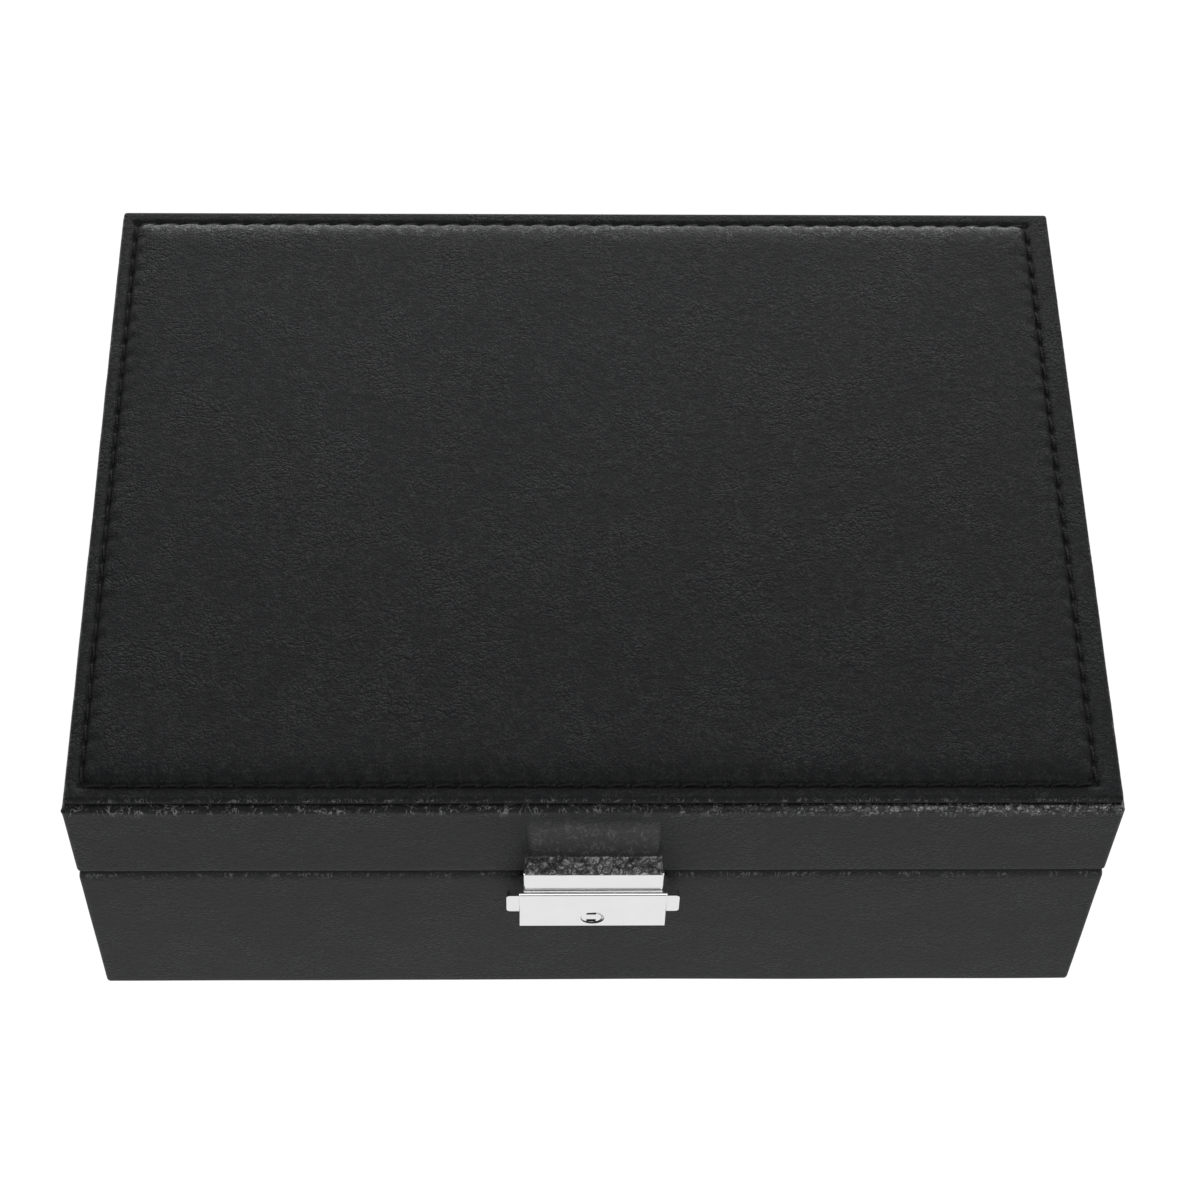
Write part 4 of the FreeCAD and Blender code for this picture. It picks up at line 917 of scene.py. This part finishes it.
def make_ceiling_pad():
    """The lid's pad, which puffs out between the lid's walls and the mirror's frame."""
    low, high = size_of("lid_ceiling_pad")
    points, faces = rounded_box(low, high, 0.2, 2.5)
    frame_high = size_of("mirror_frame")[1]
    past = [np.abs(points[:, axis]) - frame_high[axis] for axis in (0, 1)]
    room = [high[axis] - np.abs(points[:, axis]) for axis in (0, 1)]
    margin = np.clip(np.minimum(*room) / np.maximum(np.minimum(*room) + np.maximum(*past), 0.1), 0, 1)
    puff = 0.55 * np.sin(math.pi * margin) * (np.maximum(*past) > 0) * (1 + 0.15 * ripple(points, 20, 1.7))
    points[:, 2] -= np.where(points[:, 2] < (low[2] + high[2]) / 2, puff, 0)
    pad = add_piece("lid_ceiling_pad_cushion", points, faces, "lid", VELVET, ["lid_ceiling_pad"])


def make_mirror_frame():
    """A velvet-wrapped frame whose lip holds the mirror's rim."""
    low, high = size_of("mirror_frame")
    glass_low, glass_high = size_of("mirror_glass")
    cad = nodes["mirror_frame"]
    corners = [cad.matrix_world @ vertex.co / MM for vertex in cad.data.vertices]
    width = high[0] - min(abs(corner.x) for corner in corners)
    pocket = high[0] - glass_high[0]
    profile = [(0, high[2]), (0, (low[2] + high[2]) / 2)]
    profile += quarter(0.7, 0.7, (0, low[2] + 0.7), upward=False)
    lip = min(0.28, (glass_low[2] - low[2]) / 2)
    profile += [(inset, low[2]) for inset in np.linspace(0.7, width - lip, 5)[1:]]
    profile += [(width - 0.3 * lip, low[2] + 0.3 * lip), (width, low[2] + lip), (width, glass_low[2])]
    profile += [(pocket, glass_low[2]), (pocket, high[2])]
    points, faces = loft(shell_rings(high[0], high[1], 1.0, profile, 3.0), looped=True)
    add_piece("mirror_frame_velvet", points, faces, "lid", VELVET, ["mirror_frame"])


def inflated(points, faces, glued, cap, pressure=30.0, frames=20):
    """The points after a cloth simulation under pressure. Glued ones stay; none moves further than the cap."""
    mesh = bpy.data.meshes.new("inflating")
    mesh.from_pydata((points * MM).tolist(), [], faces)
    body = bpy.data.objects.new("inflating", mesh)
    scene = bpy.context.scene
    scene.collection.objects.link(body)
    held = body.vertex_groups.new(name="glued")
    held.add(np.flatnonzero(glued).tolist(), 1.0, "REPLACE")
    modifier = body.modifiers.new("cloth", "CLOTH")
    settings = modifier.settings
    settings.vertex_group_mass = "glued"
    settings.use_pressure, settings.uniform_pressure_force = True, pressure
    settings.effector_weights.gravity = 0
    modifier.point_cache.frame_start, modifier.point_cache.frame_end = 1, frames
    for moment in range(1, frames + 1):
        scene.frame_set(moment)
    graph = bpy.context.evaluated_depsgraph_get()
    result = np.array([vertex.co for vertex in body.evaluated_get(graph).data.vertices]) / MM
    bpy.data.objects.remove(body)
    bpy.data.meshes.remove(mesh)
    scene.frame_set(1)
    move = result - points
    length = np.linalg.norm(move, axis=1)[:, None]
    return points + move * np.minimum(1, cap / np.maximum(length, 1e-9))


def make_ring_rolls():
    """Foam rolls in velvet sleeves: plump, pulled in at their ends, and each slightly different."""
    low, high = size_of("ring_rolls")
    count, pitch, radius = 10, 14.82, 7.2
    parts = []
    for index in range(count):
        middle = (index - (count - 1) / 2) * pitch
        width = np.array([0, middle, 0])
        roll_low = np.array([low[0], -radius, low[2]]) + width
        roll_high = np.array([high[0], radius, high[2]]) + width
        points, faces = rounded_box(roll_low, roll_high, radius - 0.4, 1.6)
        from_end = np.minimum(points[:, 0] - low[0], high[0] - points[:, 0])
        pinch = 0.5 * (1 - eased(from_end / 9))
        uneven = 0.3 + 0.22 * (1 + ripple(points, 13, 3.3 * index)) + 0.12 * (1 + ripple(points, 5, 8.1 + index))
        points[:, 1] -= np.clip((points[:, 1] - middle) / radius, -1, 1) * (uneven + pinch)
        top = eased((points[:, 2] - low[2]) / (high[2] - low[2]))
        points[:, 2] -= top * (uneven + 1.4 * pinch)
        parts.append((points, faces))
    points, faces = collected(parts)
    points = inflated(points, faces, points[:, 2] < low[2] + 1.5, 0.8)
    rolls = add_piece("ring_roll_cushions", points, faces, "tray", VELVET, ["ring_rolls"])


def make_lift_tabs():
    """A loop of ribbon glued flat against each end wall of the tray."""
    parts = []
    for low, high in islands("tray_lift_tabs"):
        ply = 0.2
        middle, side = (low[0] + high[0]) / 2, (high[0] - low[0]) / 2 - ply / 2
        bulge = 0.25
        up = [(middle - side, z) for z in np.linspace(low[2], high[2] - 4, 12)]
        over = [
            (middle - (side + bulge * math.sin(angle)) * math.cos(angle), high[2] - 4 + 3.8 * math.sin(angle))
            for angle in np.linspace(0, math.pi, 17)[1:-1]
        ]
        path = up + over + [(2 * middle - x, z) for x, z in up[::-1]]
        path = np.array(path)
        ahead = np.gradient(path, axis=0)
        ahead /= np.linalg.norm(ahead, axis=1)[:, None]
        across = np.linspace(low[1], high[1], 9)
        rings = []
        for (x, z), (run_x, run_z) in zip(path, ahead):
            wave = 0.05 * np.sin(across * 0.8 + z * 0.4)
            sides = [
                np.column_stack([
                    x + way * run_z * ply / 2 + wave,
                    across,
                    np.full(across.shape, z - way * run_x * ply / 2),
                ])
                for way in (-1, 1)
            ]
            rings.append(np.concatenate([sides[0], sides[1][::-1]]))
        parts.append(loft(rings))
    points, faces = collected(parts)
    add_piece("ribbon_tabs", points, faces, "tray", RIBBON, ["tray_lift_tabs"])


def make_lid_band():
    """The strip of velvet round the inside of the lid's walls, its lower edge turned under."""
    low, high = size_of("lid_side_lining")
    inset_x, thick = HALF_X - high[0], 0.5
    profile = [(inset_x + 0.02, high[2]), (inset_x + 0.02, low[2] + 0.3), (inset_x + 0.15, low[2] + 0.02)]
    profile += [(inset_x + 0.38, low[2] + 0.05), (inset_x + thick, low[2] + 0.35)]
    profile += [(inset_x + thick, level) for level in np.linspace(low[2] + 1, high[2], 9)]
    points, faces = loft(shell_rings(HALF_X, HALF_Y, 1.0, profile, 3.0), looped=True)
    add_piece("lid_band_velvet", points, faces, "lid", VELVET, ["lid_side_lining"])


def make_foot():
    low, high = size_of("foot_sheet")
    points, faces = rounded_box(low, high, 0.25, 5.0)
    points[:, 2] += np.where(points[:, 2] < 0.3, 0.04 * (1 + ripple(points, 9, 2.9)), 0)
    add_piece("foot_felt", points, faces, "base", FELT, ["foot_sheet"])


def make_inside():
    linings = [f"base_{side}_lining" for side in ("front", "back", "left", "right")]
    wrap_boards("base", linings + ["tray_ledges", "lower_long_divider", "lower_cross_dividers"], 0.8, 2.2)
    walls = [f"tray_{side}_wall" for side in ("front", "back", "left", "right")]
    kinds = ("main_divider", "back_divider", "middle_divider", "cell_dividers")
    dividers = [f"tray_{kind}" for kind in kinds]
    wrap_boards("tray", walls + dividers, 0.9, 5.2)
    wrap_boards("tray", ["tray_floor"], 0.5, 7.2)
    make_floor_pad()
    make_ceiling_pad()
    make_mirror_frame()
    make_ring_rolls()
    make_lift_tabs()
    make_lid_band()
    make_foot()


make_base_skin()
make_lid_skin()
make_panel_skin()
make_foam()
make_stitches()
make_strap()
make_inside()

# ---------------------------------------------------------------------------------------------
# Finishes of the CAD nodes that stay
# ---------------------------------------------------------------------------------------------
FINISHES = {
    "leather_black": LEATHER,
    "board": BOARD,
    "greyboard": CARD,
    "foam": FOAM,
    "velvet": VELVET,
    "ribbon": RIBBON,
    "felt": FELT,
    "mirror": MIRROR,
    "thread": THREAD,
    "chrome": CHROME,
    "plated_steel": PLATED,
}


def finish_nodes():
    for subpart in frame["record"]["subparts"]:
        node = nodes[subpart["node"]]
        for index in range(len(node.material_slots)):
            node.material_slots[index].material = FINISHES[subpart["material_slot"]]


finish_nodes()

bpy.context.scene.view_settings.view_transform = "Standard"
